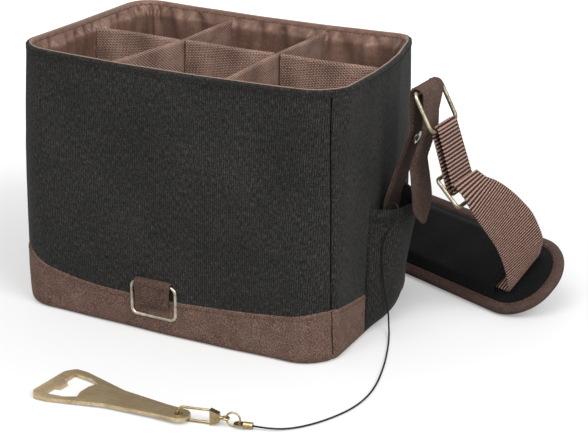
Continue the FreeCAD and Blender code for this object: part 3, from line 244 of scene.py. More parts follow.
# %% finish helpers
def start_finish(name, roughness, metallic=0.0, sheen=0.0, specular=0.5):
    """A material with its shader; the sockets that are the same all over are set here."""
    made = bpy.data.materials.new(name)
    made.use_nodes = True
    shader = made.node_tree.nodes["Principled BSDF"]
    shader.inputs["Roughness"].default_value = roughness
    shader.inputs["Metallic"].default_value = metallic
    shader.inputs["Sheen Weight"].default_value = sheen
    shader.inputs["Specular IOR Level"].default_value = specular
    return made, made.node_tree, shader


def noise(tree, vector, scale, detail=4.0, rough=0.55):
    made = add_node(tree, "ShaderNodeTexNoise", {"Vector": vector, "Scale": scale, "Detail": detail,
                                                 "Roughness": rough})
    return made.outputs["Fac"]


def stretched(tree, vector, scale):
    return add_node(tree, "ShaderNodeMapping", {"Vector": vector, "Scale": scale}).outputs[0]


def bump(tree, shader, height, distance, strength=1.0):
    made = add_node(tree, "ShaderNodeBump", {"Height": height, "Distance": distance, "Strength": strength})
    tree.links.new(made.outputs[0], shader.inputs["Normal"])


def weighted(tree, *pairs):
    """Sum of sockets, each times its weight."""
    total = math_node(tree, "MULTIPLY", pairs[0][0], pairs[0][1])
    for socket, weight in pairs[1:]:
        total = math_node(tree, "ADD", total, math_node(tree, "MULTIPLY", socket, weight))
    return total


def cloth_threads(tree, uv, warp, weft):
    """Two crossing thread patterns, as one height from 0 to 1."""
    across = noise(tree, stretched(tree, uv, (warp, warp / 4, 1)), 1.0, 2.0)
    along = noise(tree, stretched(tree, uv, (weft / 4, weft, 1)), 1.0, 2.0)
    fine = noise(tree, stretched(tree, uv, (1.6 * warp, 1.6 * warp, 1)), 1.0, 1.0)
    return weighted(tree, (across, 0.45), (along, 0.2), (fine, 0.35))


def wave(tree, socket, pitch):
    """Sine of a length, with one turn for each pitch."""
    return math_node(tree, "SINE", math_node(tree, "MULTIPLY", socket, 2 * math.pi / pitch))


print("finish helpers ready")


# %% [markdown]
# ## Canvas
# The walls, hem and pocket are black waxed canvas, a little worn: lighter threads show, in clouds
# and small scuffs. Two crossing thread patterns and a faint upright rib give the weave; a
# modelled weave would need millions of faces. The pad's canvas is the same cloth, newer and darker.


# %% canvas
def canvas_finish(name, dark, mid, light):
    made, tree, shader = start_finish(name, 0.88, sheen=0.03, specular=0.16)
    uv = add_node(tree, "ShaderNodeUVMap").outputs[0]
    across = add_node(tree, "ShaderNodeSeparateXYZ", {0: uv}).outputs[0]
    drift = weighted(tree, (across, 1.0), (noise(tree, uv, 260.0, 2.0), 0.0011))
    weave = cloth_threads(tree, uv, 1150.0, 900.0)
    threads = weighted(tree, (weave, 1.0), (wave(tree, drift, 0.0016), 0.045))
    cloud = noise(tree, uv, 14.0, 6.0, 0.65)
    colour = ramp(tree, threads, [(0.40, dark), (0.51, mid), (0.64, light)])
    worn = ramp(tree, cloud, [(0.35, (0.72, 0.72, 0.72)), (0.55, (1, 1, 1)), (0.75, (1.25, 1.24, 1.2))])
    tone = add_node(tree, "ShaderNodeMix", {"Factor": 1.0}, data_type="RGBA", blend_type="MULTIPLY")
    tree.links.new(colour, tone.inputs[6])
    tree.links.new(worn, tone.inputs[7])
    scuffs = noise(tree, stretched(tree, uv, (160.0, 40.0, 1)), 1.0, 5.0, 0.7)
    scuff_share = math_node(tree, "MULTIPLY", math_node(tree, "GREATER_THAN", scuffs, 0.69), 0.22)
    tree.links.new(blend_colour(tree, scuff_share, tone.outputs[2], light), shader.inputs["Base Color"])
    bump(tree, shader, threads, 0.0004, 0.5)
    return made


canvas = canvas_finish("waxed_canvas", (0.005, 0.005, 0.0046), (0.016, 0.0155, 0.0145), (0.052, 0.051, 0.047))
pad_canvas = canvas_finish("pad_canvas", (0.0008, 0.0008, 0.0008), (0.0022, 0.0022, 0.0021),
                           (0.0085, 0.0085, 0.0080))
print("canvas", canvas.name, pad_canvas.name)


# %% [markdown]
# ## Suede
# The foot band, the tabs and the pad's binding are brown suede: a short nap that is darker where
# it is pressed. Hair strands could make the nap; fine noise in three sizes with a little sheen
# reads the same at this distance. The tabs and the binding are darker than the foot.


# %% suede
def suede_finish(name, dark, mid, light):
    made, tree, shader = start_finish(name, 0.92, sheen=0.25, specular=0.2)
    shader.inputs["Sheen Tint"].default_value = (*light, 1.0)
    place = add_node(tree, "ShaderNodeTexCoord").outputs["Object"]
    nap = noise(tree, place, 1400.0, 3.0)
    patch = noise(tree, place, 110.0, 5.0, 0.6)
    wide = noise(tree, place, 16.0, 3.0)
    value = weighted(tree, (nap, 0.74), (patch, 0.16), (wide, 0.10))
    tree.links.new(ramp(tree, value, [(0.39, dark), (0.5, mid), (0.615, light)]), shader.inputs["Base Color"])
    bump(tree, shader, math_node(tree, "ADD", nap, patch), 0.0005, 0.5)
    return made


suede = suede_finish("foot_suede", (0.046, 0.025, 0.019), (0.102, 0.060, 0.046), (0.19, 0.122, 0.095))
tab_suede = suede_finish("tab_suede", (0.030, 0.017, 0.013), (0.066, 0.039, 0.031), (0.12, 0.078, 0.062))
binding_suede = suede_finish("binding_suede", (0.030, 0.017, 0.014), (0.062, 0.036, 0.030),
                             (0.108, 0.068, 0.056))
print("suede", suede.name, tab_suede.name, binding_suede.name)


# %% [markdown]
# ## Metal
# Rings and slider are antique brass, the front ring paler, the press-studs bright, and the opener
# is brass brushed along its length. One function makes them all: a cloudy colour with grain lines,
# which are long only on the opener. The metal pieces keep the shape of their solids, so the
# finishes go straight onto those.


# %% metal
def metal_finish(name, dark, light, roughness, grain=(260.0, 260.0, 260.0), turn=0.0):
    made, tree, shader = start_finish(name, roughness, metallic=1.0)
    place = add_node(tree, "ShaderNodeTexCoord").outputs["Object"]
    turned = add_node(tree, "ShaderNodeMapping", {"Vector": place, "Rotation": (0, 0, -turn)}).outputs[0]
    lines = noise(tree, stretched(tree, turned, grain), 1.0, 4.0, 0.6)
    cloud = noise(tree, place, 60.0, 4.0)
    value = weighted(tree, (lines, 0.55), (cloud, 0.45))
    tree.links.new(ramp(tree, value, [(0.32, dark), (0.62, light)]), shader.inputs["Base Color"])
    polish = add_node(tree, "ShaderNodeMapRange", {"Value": value, "From Min": 0.3, "From Max": 0.7,
                                                   "To Min": roughness + 0.14, "To Max": roughness})
    tree.links.new(polish.outputs[0], shader.inputs["Roughness"])
    bump(tree, shader, lines, 0.00012, 0.35)
    return made


antique = metal_finish("antique_brass", (0.085, 0.070, 0.044), (0.44, 0.385, 0.28), 0.32)
pale_brass = metal_finish("pale_brass", (0.22, 0.195, 0.145), (0.66, 0.60, 0.49), 0.32)
bright = metal_finish("stud_metal", (0.35, 0.33, 0.28), (0.75, 0.72, 0.62), 0.22)
OPENER_GRAIN, OPENER_TURN = (18.0, 1500.0, 300.0), math.radians(-2)
brushed = metal_finish("brushed_brass", (0.40, 0.29, 0.16), (0.78, 0.63, 0.40), 0.42, OPENER_GRAIN, OPENER_TURN)
clip_metal = metal_finish("clip_brass", (0.20, 0.14, 0.065), (0.52, 0.41, 0.22), 0.28)
METAL_SOLIDS = [
    (antique, ("right_ring", "left_ring", "slider")),
    (pale_brass, ("front_ring",)),
    (bright, ("right_stud", "left_stud", "right_socket", "left_socket")),
    (brushed, ("bottle_opener",)),
    (clip_metal, ("clip_hook", "clip_gate", "clip_body", "swivel_eye", "split_ring", "cord_ferrule")),
]
for finish, node_names in METAL_SOLIDS:
    for node_name in node_names:
        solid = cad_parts[node_name]
        if not solid.material_slots:
            solid.data.materials.append(finish)
        for place in solid.material_slots:
            place.material = finish
    print(finish.name, "on", len(node_names), "solids")


# %% [markdown]
# ## Webbing
# The strap is heavy brown webbing with a rib every 2.6 mm. The ribs are modelled later, in the
# strip itself; the finish adds painted shade in the valleys and painted highlight on the crests, and
# breaks each rib with its warp threads, because shape alone leaves the weave too smooth.


# %% webbing finish
RIB = 2.6


def webbing_finish(name, dark, mid, light, rib):
    """Ribbed weave: ribs across the length with painted shade in their valleys and painted highlight on their
    crests, broken by the warp threads.
    """
    made, tree, shader = start_finish(name, 0.85, sheen=0.03, specular=0.12)
    uv = add_node(tree, "ShaderNodeUVMap").outputs[0]
    split = add_node(tree, "ShaderNodeSeparateXYZ", {0: uv})
    along, across = split.outputs[0], split.outputs[1]
    # painted shade and highlight: dark in the valleys, light on the crests, in step with the modelled ribs
    rib_shade_and_highlight = wave(tree, along, rib)
    cross = wave(tree, weighted(tree, (across, 1.0), (along, 0.375)), 0.75 * rib)
    fuzz = noise(tree, stretched(tree, uv, (900.0, 900.0, 1)), 1.0, 3.0)
    value = weighted(tree, (rib_shade_and_highlight, 0.36), (cross, 0.06), (fuzz, 1.0))
    tree.links.new(ramp(tree, value, [(0.2, dark), (0.48, mid), (0.86, light)]), shader.inputs["Base Color"])
    bump(tree, shader, value, 0.0003, 0.5)
    return made


webbing = webbing_finish("ribbed_webbing", (0.010, 0.005, 0.004), (0.076, 0.040, 0.031), (0.37, 0.23, 0.18),
                         RIB * MM)
print("webbing", webbing.name)


# %% [markdown]
# ## Lining satin and divider cloth
# The lining is a brown satin with a soft shine, and the dividers are covered in a matt cloth woven
# in small diamonds. The satin is fine threads under a warm highlight. The diamonds are the product
# of two slanting waves, which is quicker than a modelled weave and can't drift.


# %% lining satin and divider cloth
DIAMOND = 0.0022


def satin_finish(name, dark, mid, light, roughness):
    made, tree, shader = start_finish(name, roughness, sheen=0.03, specular=0.4)
    shader.inputs["Specular Tint"].default_value = (1.0, 0.72, 0.60, 1.0)
    uv = add_node(tree, "ShaderNodeUVMap").outputs[0]
    threads = cloth_threads(tree, uv, 1300.0, 500.0)
    cloud = noise(tree, uv, 30.0, 4.0)
    value = weighted(tree, (threads, 0.6), (cloud, 0.4))
    tree.links.new(ramp(tree, value, [(0.35, dark), (0.5, mid), (0.66, light)]), shader.inputs["Base Color"])
    bump(tree, shader, threads, 0.0002, 0.4)
    return made


def twill_finish(name, dark, mid, light, pitch):
    """Diamond-dotted weave of the dividers' cloth."""
    made, tree, shader = start_finish(name, 0.66, sheen=0.03, specular=0.16)
    uv = add_node(tree, "ShaderNodeUVMap").outputs[0]
    split = add_node(tree, "ShaderNodeSeparateXYZ", {0: uv})
    rising = wave(tree, weighted(tree, (split.outputs[0], 1.0), (split.outputs[1], 0.8)), pitch)
    falling = wave(tree, weighted(tree, (split.outputs[0], 0.8), (split.outputs[1], -1.0)), pitch)
    dots = math_node(tree, "MULTIPLY", rising, falling)
    cloud = noise(tree, uv, 40.0, 4.0)
    fuzz = noise(tree, stretched(tree, uv, (1400.0, 1400.0, 1)), 1.0, 2.0)
    value = weighted(tree, (dots, 0.24), (rising, 0.10), (cloud, 0.45), (fuzz, 0.55))
    tree.links.new(ramp(tree, value, [(0.3, dark), (0.5, mid), (0.7, light)]), shader.inputs["Base Color"])
    bump(tree, shader, dots, 0.00025, 0.5)
    return made


satin = satin_finish("lining_satin", (0.068, 0.037, 0.027), (0.140, 0.080, 0.060), (0.24, 0.147, 0.115), 0.34)
divider_cloth = twill_finish("divider_cloth", (0.030, 0.015, 0.011), (0.150, 0.088, 0.067),
                             (0.42, 0.275, 0.22), DIAMOND)
print("inside cloths", satin.name, divider_cloth.name)


# %% [markdown]
# ## Threads and cord
# Stitches and the cord are twisted thread in a few colours; the same finish also makes the near-black
# painted shade in the corner seam grooves and the light tan painted highlight along the lining's fold at
# the rim. At this size a twist is a speckle of light and dark, so a fine noise is enough.


# %% threads
def thread_and_painted_line_finish(name, colour, specular=0.3):
    made, tree, shader = start_finish(name, 0.75, specular=specular)
    place = add_node(tree, "ShaderNodeTexCoord").outputs["Object"]
    twist = noise(tree, place, 2200.0, 2.0)
    darker = tuple(0.55 * c for c in colour)
    tree.links.new(ramp(tree, twist, [(0.35, darker), (0.6, colour)]), shader.inputs["Base Color"])
    bump(tree, shader, twist, 0.0001, 0.5)
    return made


dark_thread = thread_and_painted_line_finish("dark_thread", (0.014, 0.013, 0.012))
brown_thread = thread_and_painted_line_finish("brown_thread", (0.10, 0.06, 0.043))
# painted highlight: light tan for the line along the lining's fold at the rim
painted_highlight_tan = thread_and_painted_line_finish("painted_highlight_tan", (0.30, 0.20, 0.155))
cord_finish = thread_and_painted_line_finish("cord_black", (0.007, 0.0065, 0.006))
# painted shade: near-black and almost without shine, for the tubes in the corner seam grooves
seam_shade_finish = thread_and_painted_line_finish("seam_painted_shade", (0.0022, 0.0021, 0.0020), 0.05)
cord_curve.materials.append(cord_finish)
print("finishes", len(bpy.data.materials))

# %% [markdown]
# ## Sheets from grids
# Most cloth here is a grid of points: rows along one way of the cloth and columns along the
# other. It could be draped by a cloth simulation, which would move away from the solids; a grid
# from formulas stays put. One helper turns such a grid into a mesh with a UV map in metres.


# %% grid helper
def uv_mesh(name, points, faces, uvs):
    """Mesh with one UV map; points in metres, a UV for each corner of each face."""
    mesh = bpy.data.meshes.new(name)
    mesh.from_pydata(points, [], faces)
    layer = mesh.uv_layers.new(name="UVMap")
    layer.data.foreach_set("uv", np.array(uvs, np.float32).ravel())
    return mesh


def grid_piece(name, points, finish, body, wrap=False, turned=False):
    """points is rows by columns by 3, in millimetres; wrap joins the last column to the first."""
    points = np.asarray(points, float)
    rows, columns = points.shape[:2]
    flat = [tuple(p * MM) for p in points.reshape(-1, 3)]
    last = columns if wrap else columns - 1
    faces, uvs = [], []
    loop = np.concatenate([points, points[:, :1]], axis=1) if wrap else points
    steps_u = np.linalg.norm(np.diff(loop, axis=1), axis=2).mean(axis=0)
    u = np.concatenate([[0], np.cumsum(steps_u)]) * MM
    steps_v = np.linalg.norm(np.diff(points, axis=0), axis=2).mean(axis=1)
    v = np.concatenate([[0], np.cumsum(steps_v)]) * MM
    for r in range(rows - 1):
        for c in range(last):
            n = (c + 1) % columns
            corners = [(r, c, c), (r, n, c + 1), (r + 1, n, c + 1), (r + 1, c, c)]
            if turned:
                corners.reverse()
            faces.append([row * columns + col for row, col, _ in corners])
            uvs.extend([(u[m], v[row]) for row, _, m in corners])
    return finish_piece(name, uv_mesh(name, flat, faces, uvs), finish, body)


def finish_piece(name, mesh, finish, body, sharp=None):
    mesh.shade_smooth()
    if sharp:
        mesh.set_sharp_from_angle(angle=math.radians(sharp))
    made = bpy.data.objects.new(name, mesh)
    made.data.materials.append(finish)
    scene.collection.objects.link(made)
    if body:
        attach(made, body)
    return made


def thicken(piece, thick_mm):
    """Gives a sheet its cloth thickness, inward, with a solidify modifier."""
    made = piece.modifiers.new("cloth_thickness", "SOLIDIFY")
    made.thickness = thick_mm * MM
    made.offset = -1


def unit(v):
    return v / np.maximum(np.linalg.norm(v, axis=-1, keepdims=True), 1e-9)


def run_length(points):
    """Length along a line of points, from 0 at its start."""
    return np.concatenate([[0], np.cumsum(np.linalg.norm(np.diff(points, axis=0), axis=1))])


print("grid helpers ready")

# %% [markdown]
# ## Stitches
# Every seam shows its thread as short lengths that dip into the cloth at both ends. A dashed
# texture would stay flat; here each stitch is a small six-sided tube of four rings, thin and sunk
# at the ends.

# %% stitches
STITCH_SIDES = 6
# Place along the stitch, share of the full thickness, and height in thicknesses
STITCH_RINGS = ((0.0, 0.35, -0.35), (0.25, 1.0, 0.30), (0.75, 1.0, 0.30), (1.0, 0.35, -0.35))


def stitches(name, runs, finish, body, pitch=3.6, length=2.6, thick=0.75):
    """Short thread lengths along runs; a run is its points and the outward normals, in millimetres."""
    verts, faces = [], []
    for points, normals in runs:
        points, normals = np.asarray(points, float), np.asarray(normals, float)
        place = run_length(points)
        for k in range(int(place[-1] // pitch)):
            middle = (k + 0.5) * pitch
            ends = [np.array([np.interp(s, place, points[:, a]) for a in range(3)])
                    for s in (middle - length / 2, middle + length / 2)]
            out = unit(np.array([np.interp(middle, place, normals[:, a]) for a in range(3)]))
            side = np.cross(unit(ends[1] - ends[0]), out)
            first = len(verts)
            for share, size, rise in STITCH_RINGS:
                centre = ends[0] + (ends[1] - ends[0]) * share + out * (thick * rise)
                for s in range(STITCH_SIDES):
                    angle = 2 * math.pi * s / STITCH_SIDES
                    reach = math.cos(angle) * side + math.sin(angle) * out
                    verts.append((centre + size * thick / 2 * reach) * MM)
            for ring in range(3):
                for s in range(STITCH_SIDES):
                    a = first + ring * STITCH_SIDES + s
                    b = first + ring * STITCH_SIDES + (s + 1) % STITCH_SIDES
                    faces.append((a, b, b + STITCH_SIDES, a + STITCH_SIDES))
            faces.append(tuple(first + s for s in reversed(range(STITCH_SIDES))))
            faces.append(tuple(first + 3 * STITCH_SIDES + s for s in range(STITCH_SIDES)))
    mesh = bpy.data.meshes.new(name)
    mesh.from_pydata([tuple(v) for v in verts], [], faces)
    print(name, len(verts) // (4 * STITCH_SIDES), "stitches")
    return finish_piece(name, mesh, finish, body)


# %% [markdown]
# ## The plan of the walls
# The bag is one tapered loop of padded canvas on a rounded rectangle. It could be a box with
# bevelled corners; an outline sampled with the same count of points at every height lets any layer
# be laid on it, row by row.

# %% wall plan
HEIGHT = 195.0
TOP, FOOT = (248.0, 162.0, 22.0), (250.0, 174.0, 26.0)
LONG_COUNT, SHORT_COUNT, CORNER_COUNT = 120, 84, 30
WALL_COUNTS = (LONG_COUNT, SHORT_COUNT, CORNER_COUNT)
AROUND = 2 * (LONG_COUNT + SHORT_COUNT) + 4 * CORNER_COUNT


def plan_outline(width, depth, radius, counts):
    """Points and normals round a rounded rectangle, from the front's left end, as many at any size."""
    x, y = width / 2 - radius, depth / 2 - radius
    long_count, short_count, corner_count = counts
    spots, ways = [], []
    sides = [((-x, -y), (x, -y), -90, long_count), ((x, -y), (x, y), 0, short_count),
             ((x, y), (-x, y), 90, long_count), ((-x, y), (-x, -y), 180, short_count)]
    for start, stop, facing, count in sides:
        angle = math.radians(facing)
        way = np.array([math.cos(angle), math.sin(angle)])
        for share in np.linspace(0, 1, count, endpoint=False):
            base = np.array(start) * (1 - share) + np.array(stop) * share
            spots.append(base + way * radius)
            ways.append(way)
        for share in np.linspace(0, 1, corner_count, endpoint=False):
            angle = math.radians(facing + 90 * share)
            way = np.array([math.cos(angle), math.sin(angle)])
            spots.append(np.array(stop) + way * radius)
            ways.append(way)
    return np.array(spots), np.array(ways)


print("wall columns", AROUND)

# %% [markdown]
# ## How the soft walls stand
# Padded canvas doesn't stand on a plain taper. The rim bulges at the right front corner, the lower
# right rear is drawn in, the long front bows out, and the cloth has low waves. Sculpting would do
# it once; a function of place does it for every layer alike, so that canvas, band, hem and lining
# stay together.

# %% wall sway
SWAY_Y = [-90, -62, -24, 4, 28, 64, 90]
SWAY_TOP = [6.5, 9.0, 8.5, 6.0, 2.0, -8.0, -9.0]
SWAY_FOOT = [0.0, 1.5, -0.8, -2.5, -5.0, -12.0, -13.0]
LEFT_Z, LEFT_BULGE = [0, 25, 60, 120, 195], [3.5, 5.0, 5.8, 5.0, 1.6]
END_FROM, END_RUN = 40, 84
FRONT_BOW, FOOT_BOW, BACK_BOW, WAVE_SIZE = 1.6, 1.0, 1.5, 0.6


def sway(x, y, z):
    """How the soft walls stand away from the plain taper, in x and y."""
    share = np.clip(z / HEIGHT, 0, 1)
    reach = np.clip((x - END_FROM) / END_RUN, 0, 1)
    reach = reach * reach * (3 - 2 * reach)
    dx = reach * (np.interp(y, SWAY_Y, SWAY_TOP) * share ** 1.4
                  + np.interp(y, SWAY_Y, SWAY_FOOT) * (1 - share))
    left = np.clip((-x - END_FROM) / END_RUN, 0, 1) * np.clip((-y - 5) / 55, 0, 1)
    dx = dx - left * np.interp(z, LEFT_Z, LEFT_BULGE)
    middle = np.cos(np.pi * np.clip(x / 250, -0.5, 0.5))
    front = 1 / (1 + np.exp((y + 40) / 8))
    back = 1 / (1 + np.exp((40 - y) / 8))
    dy = -front * middle * (FRONT_BOW + FOOT_BOW * (1 - share)) + back * middle * BACK_BOW
    waves = (0.55 * np.sin(0.043 * x + 0.021 * z + 0.7) * np.sin(0.031 * z + 1.1)
             + 0.35 * np.sin(0.11 * x - 0.05 * z + 0.05 * y) + 0.25 * np.sin(0.17 * y + 0.09 * z))
    return dx, dy - WAVE_SIZE * front * waves + WAVE_SIZE * back * waves


def wall_ring(z, inset=0.0):
    """Points and outward normals round the wall at heights z, which may differ round the ring."""
    z = np.broadcast_to(np.asarray(z, float), (AROUND,))
    low, ways = plan_outline(*FOOT, WALL_COUNTS)
    high, _ = plan_outline(*TOP, WALL_COUNTS)
    share = (z / HEIGHT)[:, None]
    flat = low * (1 - share) + high * share - ways * np.asarray(inset, float).reshape(-1, 1)
    dx, dy = sway(flat[:, 0], flat[:, 1], z)
    points = np.stack([flat[:, 0] + dx, flat[:, 1] + dy, z], axis=1)
    return points, np.concatenate([ways, np.zeros((len(ways), 1))], axis=1)


print("sway at the right front rim", round(float(sway(124.0, -62.0, HEIGHT)[0]), 1), "mm")

# %% [markdown]
# ## The line of the rim and of the band
# The rim sags a little between the corners, and the suede band's top edge is a shallow arc on each
# side, lowest near the middle and highest at the corners. The arcs could be drawn as curves;
# heights for each column of the wall let the canvas end exactly where the suede begins.

# %% rim and band lines
RIM_SAG, RIM_RUN = 2.5, 124.0
BAND_LOW, BAND_RISE, BAND_RISE_BACK_RIGHT = 26, 20, 14.0
LOW_SPOT = -30.0
plan_low, plan_ways = plan_outline(*FOOT, WALL_COUNTS)
plan_x, plan_y = plan_low[:, 0], plan_low[:, 1]
on_long = np.abs(plan_ways[:, 1])
long_share = np.clip(np.abs(plan_x) / RIM_RUN, 0, 1)
rim_z = HEIGHT - RIM_SAG * on_long * (1 - long_share ** 2)
back_rise = np.where(plan_x > 0, BAND_RISE_BACK_RIGHT, BAND_RISE)
back_band = BAND_LOW + back_rise * (np.abs(plan_x) / 125.0) ** 2
front_band = np.where(plan_x > LOW_SPOT, 0.55 * ((plan_x - LOW_SPOT) / 155.0) ** 2,
                      np.abs((LOW_SPOT - plan_x) / 95.0) ** 3)
long_band = np.where(plan_y < 0, BAND_LOW + BAND_RISE * front_band, back_band)
short_band = np.where(plan_x > 0, 28.5 + 0.13 * np.abs(plan_y), BAND_LOW + BAND_RISE * (plan_y / 87.0) ** 2)
band_z = long_band * on_long ** 2 + short_band * (1 - on_long ** 2)
print("rim", round(rim_z.min(), 1), "to", round(rim_z.max(), 1), "band", round(band_z.min(), 1), "to",
      round(band_z.max(), 1))

# %% [markdown]
# ## Where the corner seams run
# The four walls are sewn at the corners, and each seam draws the cloth into a groove with a low
# swell beside it. A bump could fake the groove, but it shows at the edge of the bag, so the wall
# itself is pressed in. A seam stands upright on the tapered corner, so it crosses the columns.

# %% seam places
SEAM_TURN = 9.0
GROOVE_DEEP, GROOVE_HALF = 1.5, 0.8
SWELL_HIGH, SWELL_AWAY, SWELL_HALF = 0.6, 3, 1.6


def seam_spots(z):
    """Where the four corner seams cross the ring at height z, in columns."""
    shift = SEAM_TURN * (1 - z / HEIGHT)
    first = LONG_COUNT + CORNER_COUNT // 2
    second = first + SHORT_COUNT + CORNER_COUNT
    third = second + LONG_COUNT + CORNER_COUNT
    fourth = third + SHORT_COUNT + CORNER_COUNT
    return [first + shift, second - shift, third + shift, fourth - shift]


def seam_dent(z):
    """Inset of the cloth at height z: a groove at each seam and a low swell beside it."""
    total = np.zeros(AROUND)
    for spot in seam_spots(float(np.mean(z))):
        away = np.abs(np.arange(AROUND) - spot)
        total += GROOVE_DEEP * np.exp(-(away / GROOVE_HALF) ** 2)
        total -= SWELL_HIGH * np.exp(-((away - SWELL_AWAY) / SWELL_HALF) ** 2)
    return total


def at_spot(ring, spot):
    column = int(spot)
    return ring[column] * (1 - spot + column) + ring[column + 1] * (spot - column)


print("seams at columns", [round(s, 1) for s in seam_spots(0)])

# %% [markdown]
# ## Canvas walls
# The canvas is laid from just under the band's edge to just under the rim, in rows of the wall
# function. It is a sheet with its thickness added inward by a modifier, which keeps the outside
# where the solids have it.

# %% canvas walls
CANVAS_ROWS, CANVAS_THICK = 72, 1.6
UNDER_BAND, UNDER_RIM = 3, 2.0
canvas_rows = []
for share in np.linspace(0, 1, CANVAS_ROWS):
    z = (band_z - UNDER_BAND) * (1 - share) + (rim_z - UNDER_RIM) * share
    canvas_rows.append(wall_ring(z, seam_dent(z))[0])
walls = grid_piece("canvas_walls", canvas_rows, canvas, "bag", wrap=True)
thicken(walls, CANVAS_THICK)
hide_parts(*[side + part for side in ("front_", "back_", "left_", "right_")
                     for part in ("panel", "foam")])
print("canvas walls", CANVAS_ROWS, "rows of", AROUND)

# %% [markdown]
# ## Rim
# The canvas is turned over at the rim into a narrow hem. On its inner edge, where the lining is sewn on,
# a thin light tan tube is painted highlight: the light caught by the lining's fold there. Both are small
# sections carried round the rim: a bevel on the wall couldn't give the fold its lip and its stitch line.

# %% rim
# Height over the rim and inset from the wall, from the hem's lower edge over the fold
HEM_PROFILE = [(-5.4, -0.05), (-5.0, -0.45), (-4.2, -0.45), (-3.4, -0.15), (-2.6, -0.5), (-1.5, -0.7),
               (-0.7, -0.4), (-0.2, 0.3), (0.0, 1.1), (-0.3, 1.9), (-2.0, 2.1)]
HIGHLIGHT_RADIUS, HIGHLIGHT_DROP, HIGHLIGHT_INSET = 0.55, 0.2, 2.1
hem_rows = [wall_ring(rim_z + drop, inset + 0.5 * seam_dent(HEIGHT))[0] for drop, inset in HEM_PROFILE]
hem = grid_piece("rim_hem", hem_rows, canvas, "bag", wrap=True)
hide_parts("front_hem", "back_hem", "left_hem", "right_hem")
# painted highlight: a light tan tube along the lining's fold at the rim
highlight_rows = [wall_ring(rim_z - HIGHLIGHT_DROP + HIGHLIGHT_RADIUS * math.sin(angle),
                       HIGHLIGHT_INSET + HIGHLIGHT_RADIUS * math.cos(angle))[0]
             for angle in np.linspace(0, 2 * math.pi, 9)]
grid_piece("rim_painted_highlight", highlight_rows, painted_highlight_tan, "bag", wrap=True)
print("hem", len(hem_rows), "rows, piping", 2 * HIGHLIGHT_RADIUS, "mm")

# %% [markdown]
# ## Suede band and base
# The foot is wrapped in suede: a band that turns under at the floor and ends in a cut edge on the
# canvas, and a base under it. One sheet from the floor to the edge keeps the turn soft. The base is
# the same outline drawn together to the middle.

# %% suede band and base
# Height over the floor and inset from the wall, where the band turns under
FOOT_PROFILE = ((0.15, 9.0), (0.1, 3.2), (0.5, 1.2), (1.6, 0.1), (3.2, -0.5))
TURN_TOP, BAND_OUT = 3.2, 0.7
BASE_LEVEL, BASE_INSET, BASE_THICK = 0.12, 8.0, 2.0
band_rows = [wall_ring(z, inset + 0.3 * seam_dent(z))[0] for z, inset in FOOT_PROFILE]
for share in np.linspace(0.06, 1, 22):
    z = TURN_TOP + (band_z - TURN_TOP) * share
    band_rows.append(wall_ring(z, -BAND_OUT + 0.7 * seam_dent(z))[0])
band_rows += [wall_ring(band_z + up, inset)[0] for up, inset in ((0.5, -0.45), (0.6, 0.3))]
band = grid_piece("suede_band", band_rows, suede, "bag", wrap=True)
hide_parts("front_band", "back_band", "left_band", "right_band")
base_ring = wall_ring(BASE_LEVEL, BASE_INSET)[0]
base_rows = [base_ring * (share, share, 1) for share in np.linspace(1.0, 0.02, 12)]
base = grid_piece("suede_base", base_rows, suede, "bag", wrap=True, turned=True)
thicken(base, BASE_THICK)
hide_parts("base_panel", "base_board")
print("band", len(band_rows), "rows, base", len(base_rows), "rows")

# %% [markdown]
# ## Stitches and seams of the walls
# Thread runs round the hem and along the band's edge, and each corner has a dark line in its seam groove
# with a row of stitches beside it. The dark line is painted shade: a thin near-black tube laid in the
# groove, because a dark stripe in the finish would miss the groove where the corner tapers.

# %% wall stitches
RIM_STITCH, BAND_STITCH = 3.4, 2.2
SEAM_SUNK, SEAM_SHADE_RADIUS, SEAM_SIDES, SEAM_ROWS, SEAM_STITCH_ROWS, SEAM_BESIDE = 0.8, 0.42, 8, 90, 60, 3


def loop_close(a):
    return np.concatenate([a, a[:1]])


rim_line, rim_out = wall_ring(rim_z - RIM_STITCH, -0.35)
stitches("rim_stitches", [(loop_close(rim_line), loop_close(rim_out))], dark_thread, "bag")
band_line, band_out = wall_ring(band_z - BAND_STITCH, -0.75)
stitches("band_stitches", [(loop_close(band_line), loop_close(band_out))], brown_thread, "bag")
round_angles = np.linspace(0, 2 * math.pi, SEAM_SIDES, endpoint=False)
seam_ring = SEAM_SHADE_RADIUS * np.stack([np.cos(round_angles), np.sin(round_angles), 0 * round_angles], axis=1)
seam_runs = []
for index in range(4):
    column = int(seam_spots(100)[index])
    seam_z = np.linspace(5.0, rim_z[column] - 4, SEAM_ROWS)
    sunk = np.interp(seam_z - band_z[column], [-1, 2], [0.1, SEAM_SUNK])
    seam_rows = [at_spot(wall_ring(z, s)[0], seam_spots(z)[index]) + seam_ring for z, s in zip(seam_z, sunk)]
    # painted shade: a near-black tube in each corner's seam groove
    grid_piece("corner_seam_shade_%d" % (index + 1), seam_rows, seam_shade_finish, "bag", wrap=True)
    run = []
    for z in np.linspace(band_z[column] + 4, rim_z[column] - 7, SEAM_STITCH_ROWS):
        run.append([at_spot(part, seam_spots(z)[index] - SEAM_BESIDE) for part in wall_ring(z, 0.0)])
    seam_runs.append((np.array([r[0] for r in run]), np.array([r[1] for r in run])))
stitches("corner_stitches", seam_runs, dark_thread, "bag")

# %% [markdown]
# ## Lining
# The lining is thin satin, a little too wide for the bag. It is sewn to the rim under a narrow
# strip and gathers below it, tight at the top and looser farther down. A cloth simulation could
# gather it; sums of sines round the bag give the same look, and the same one each time.

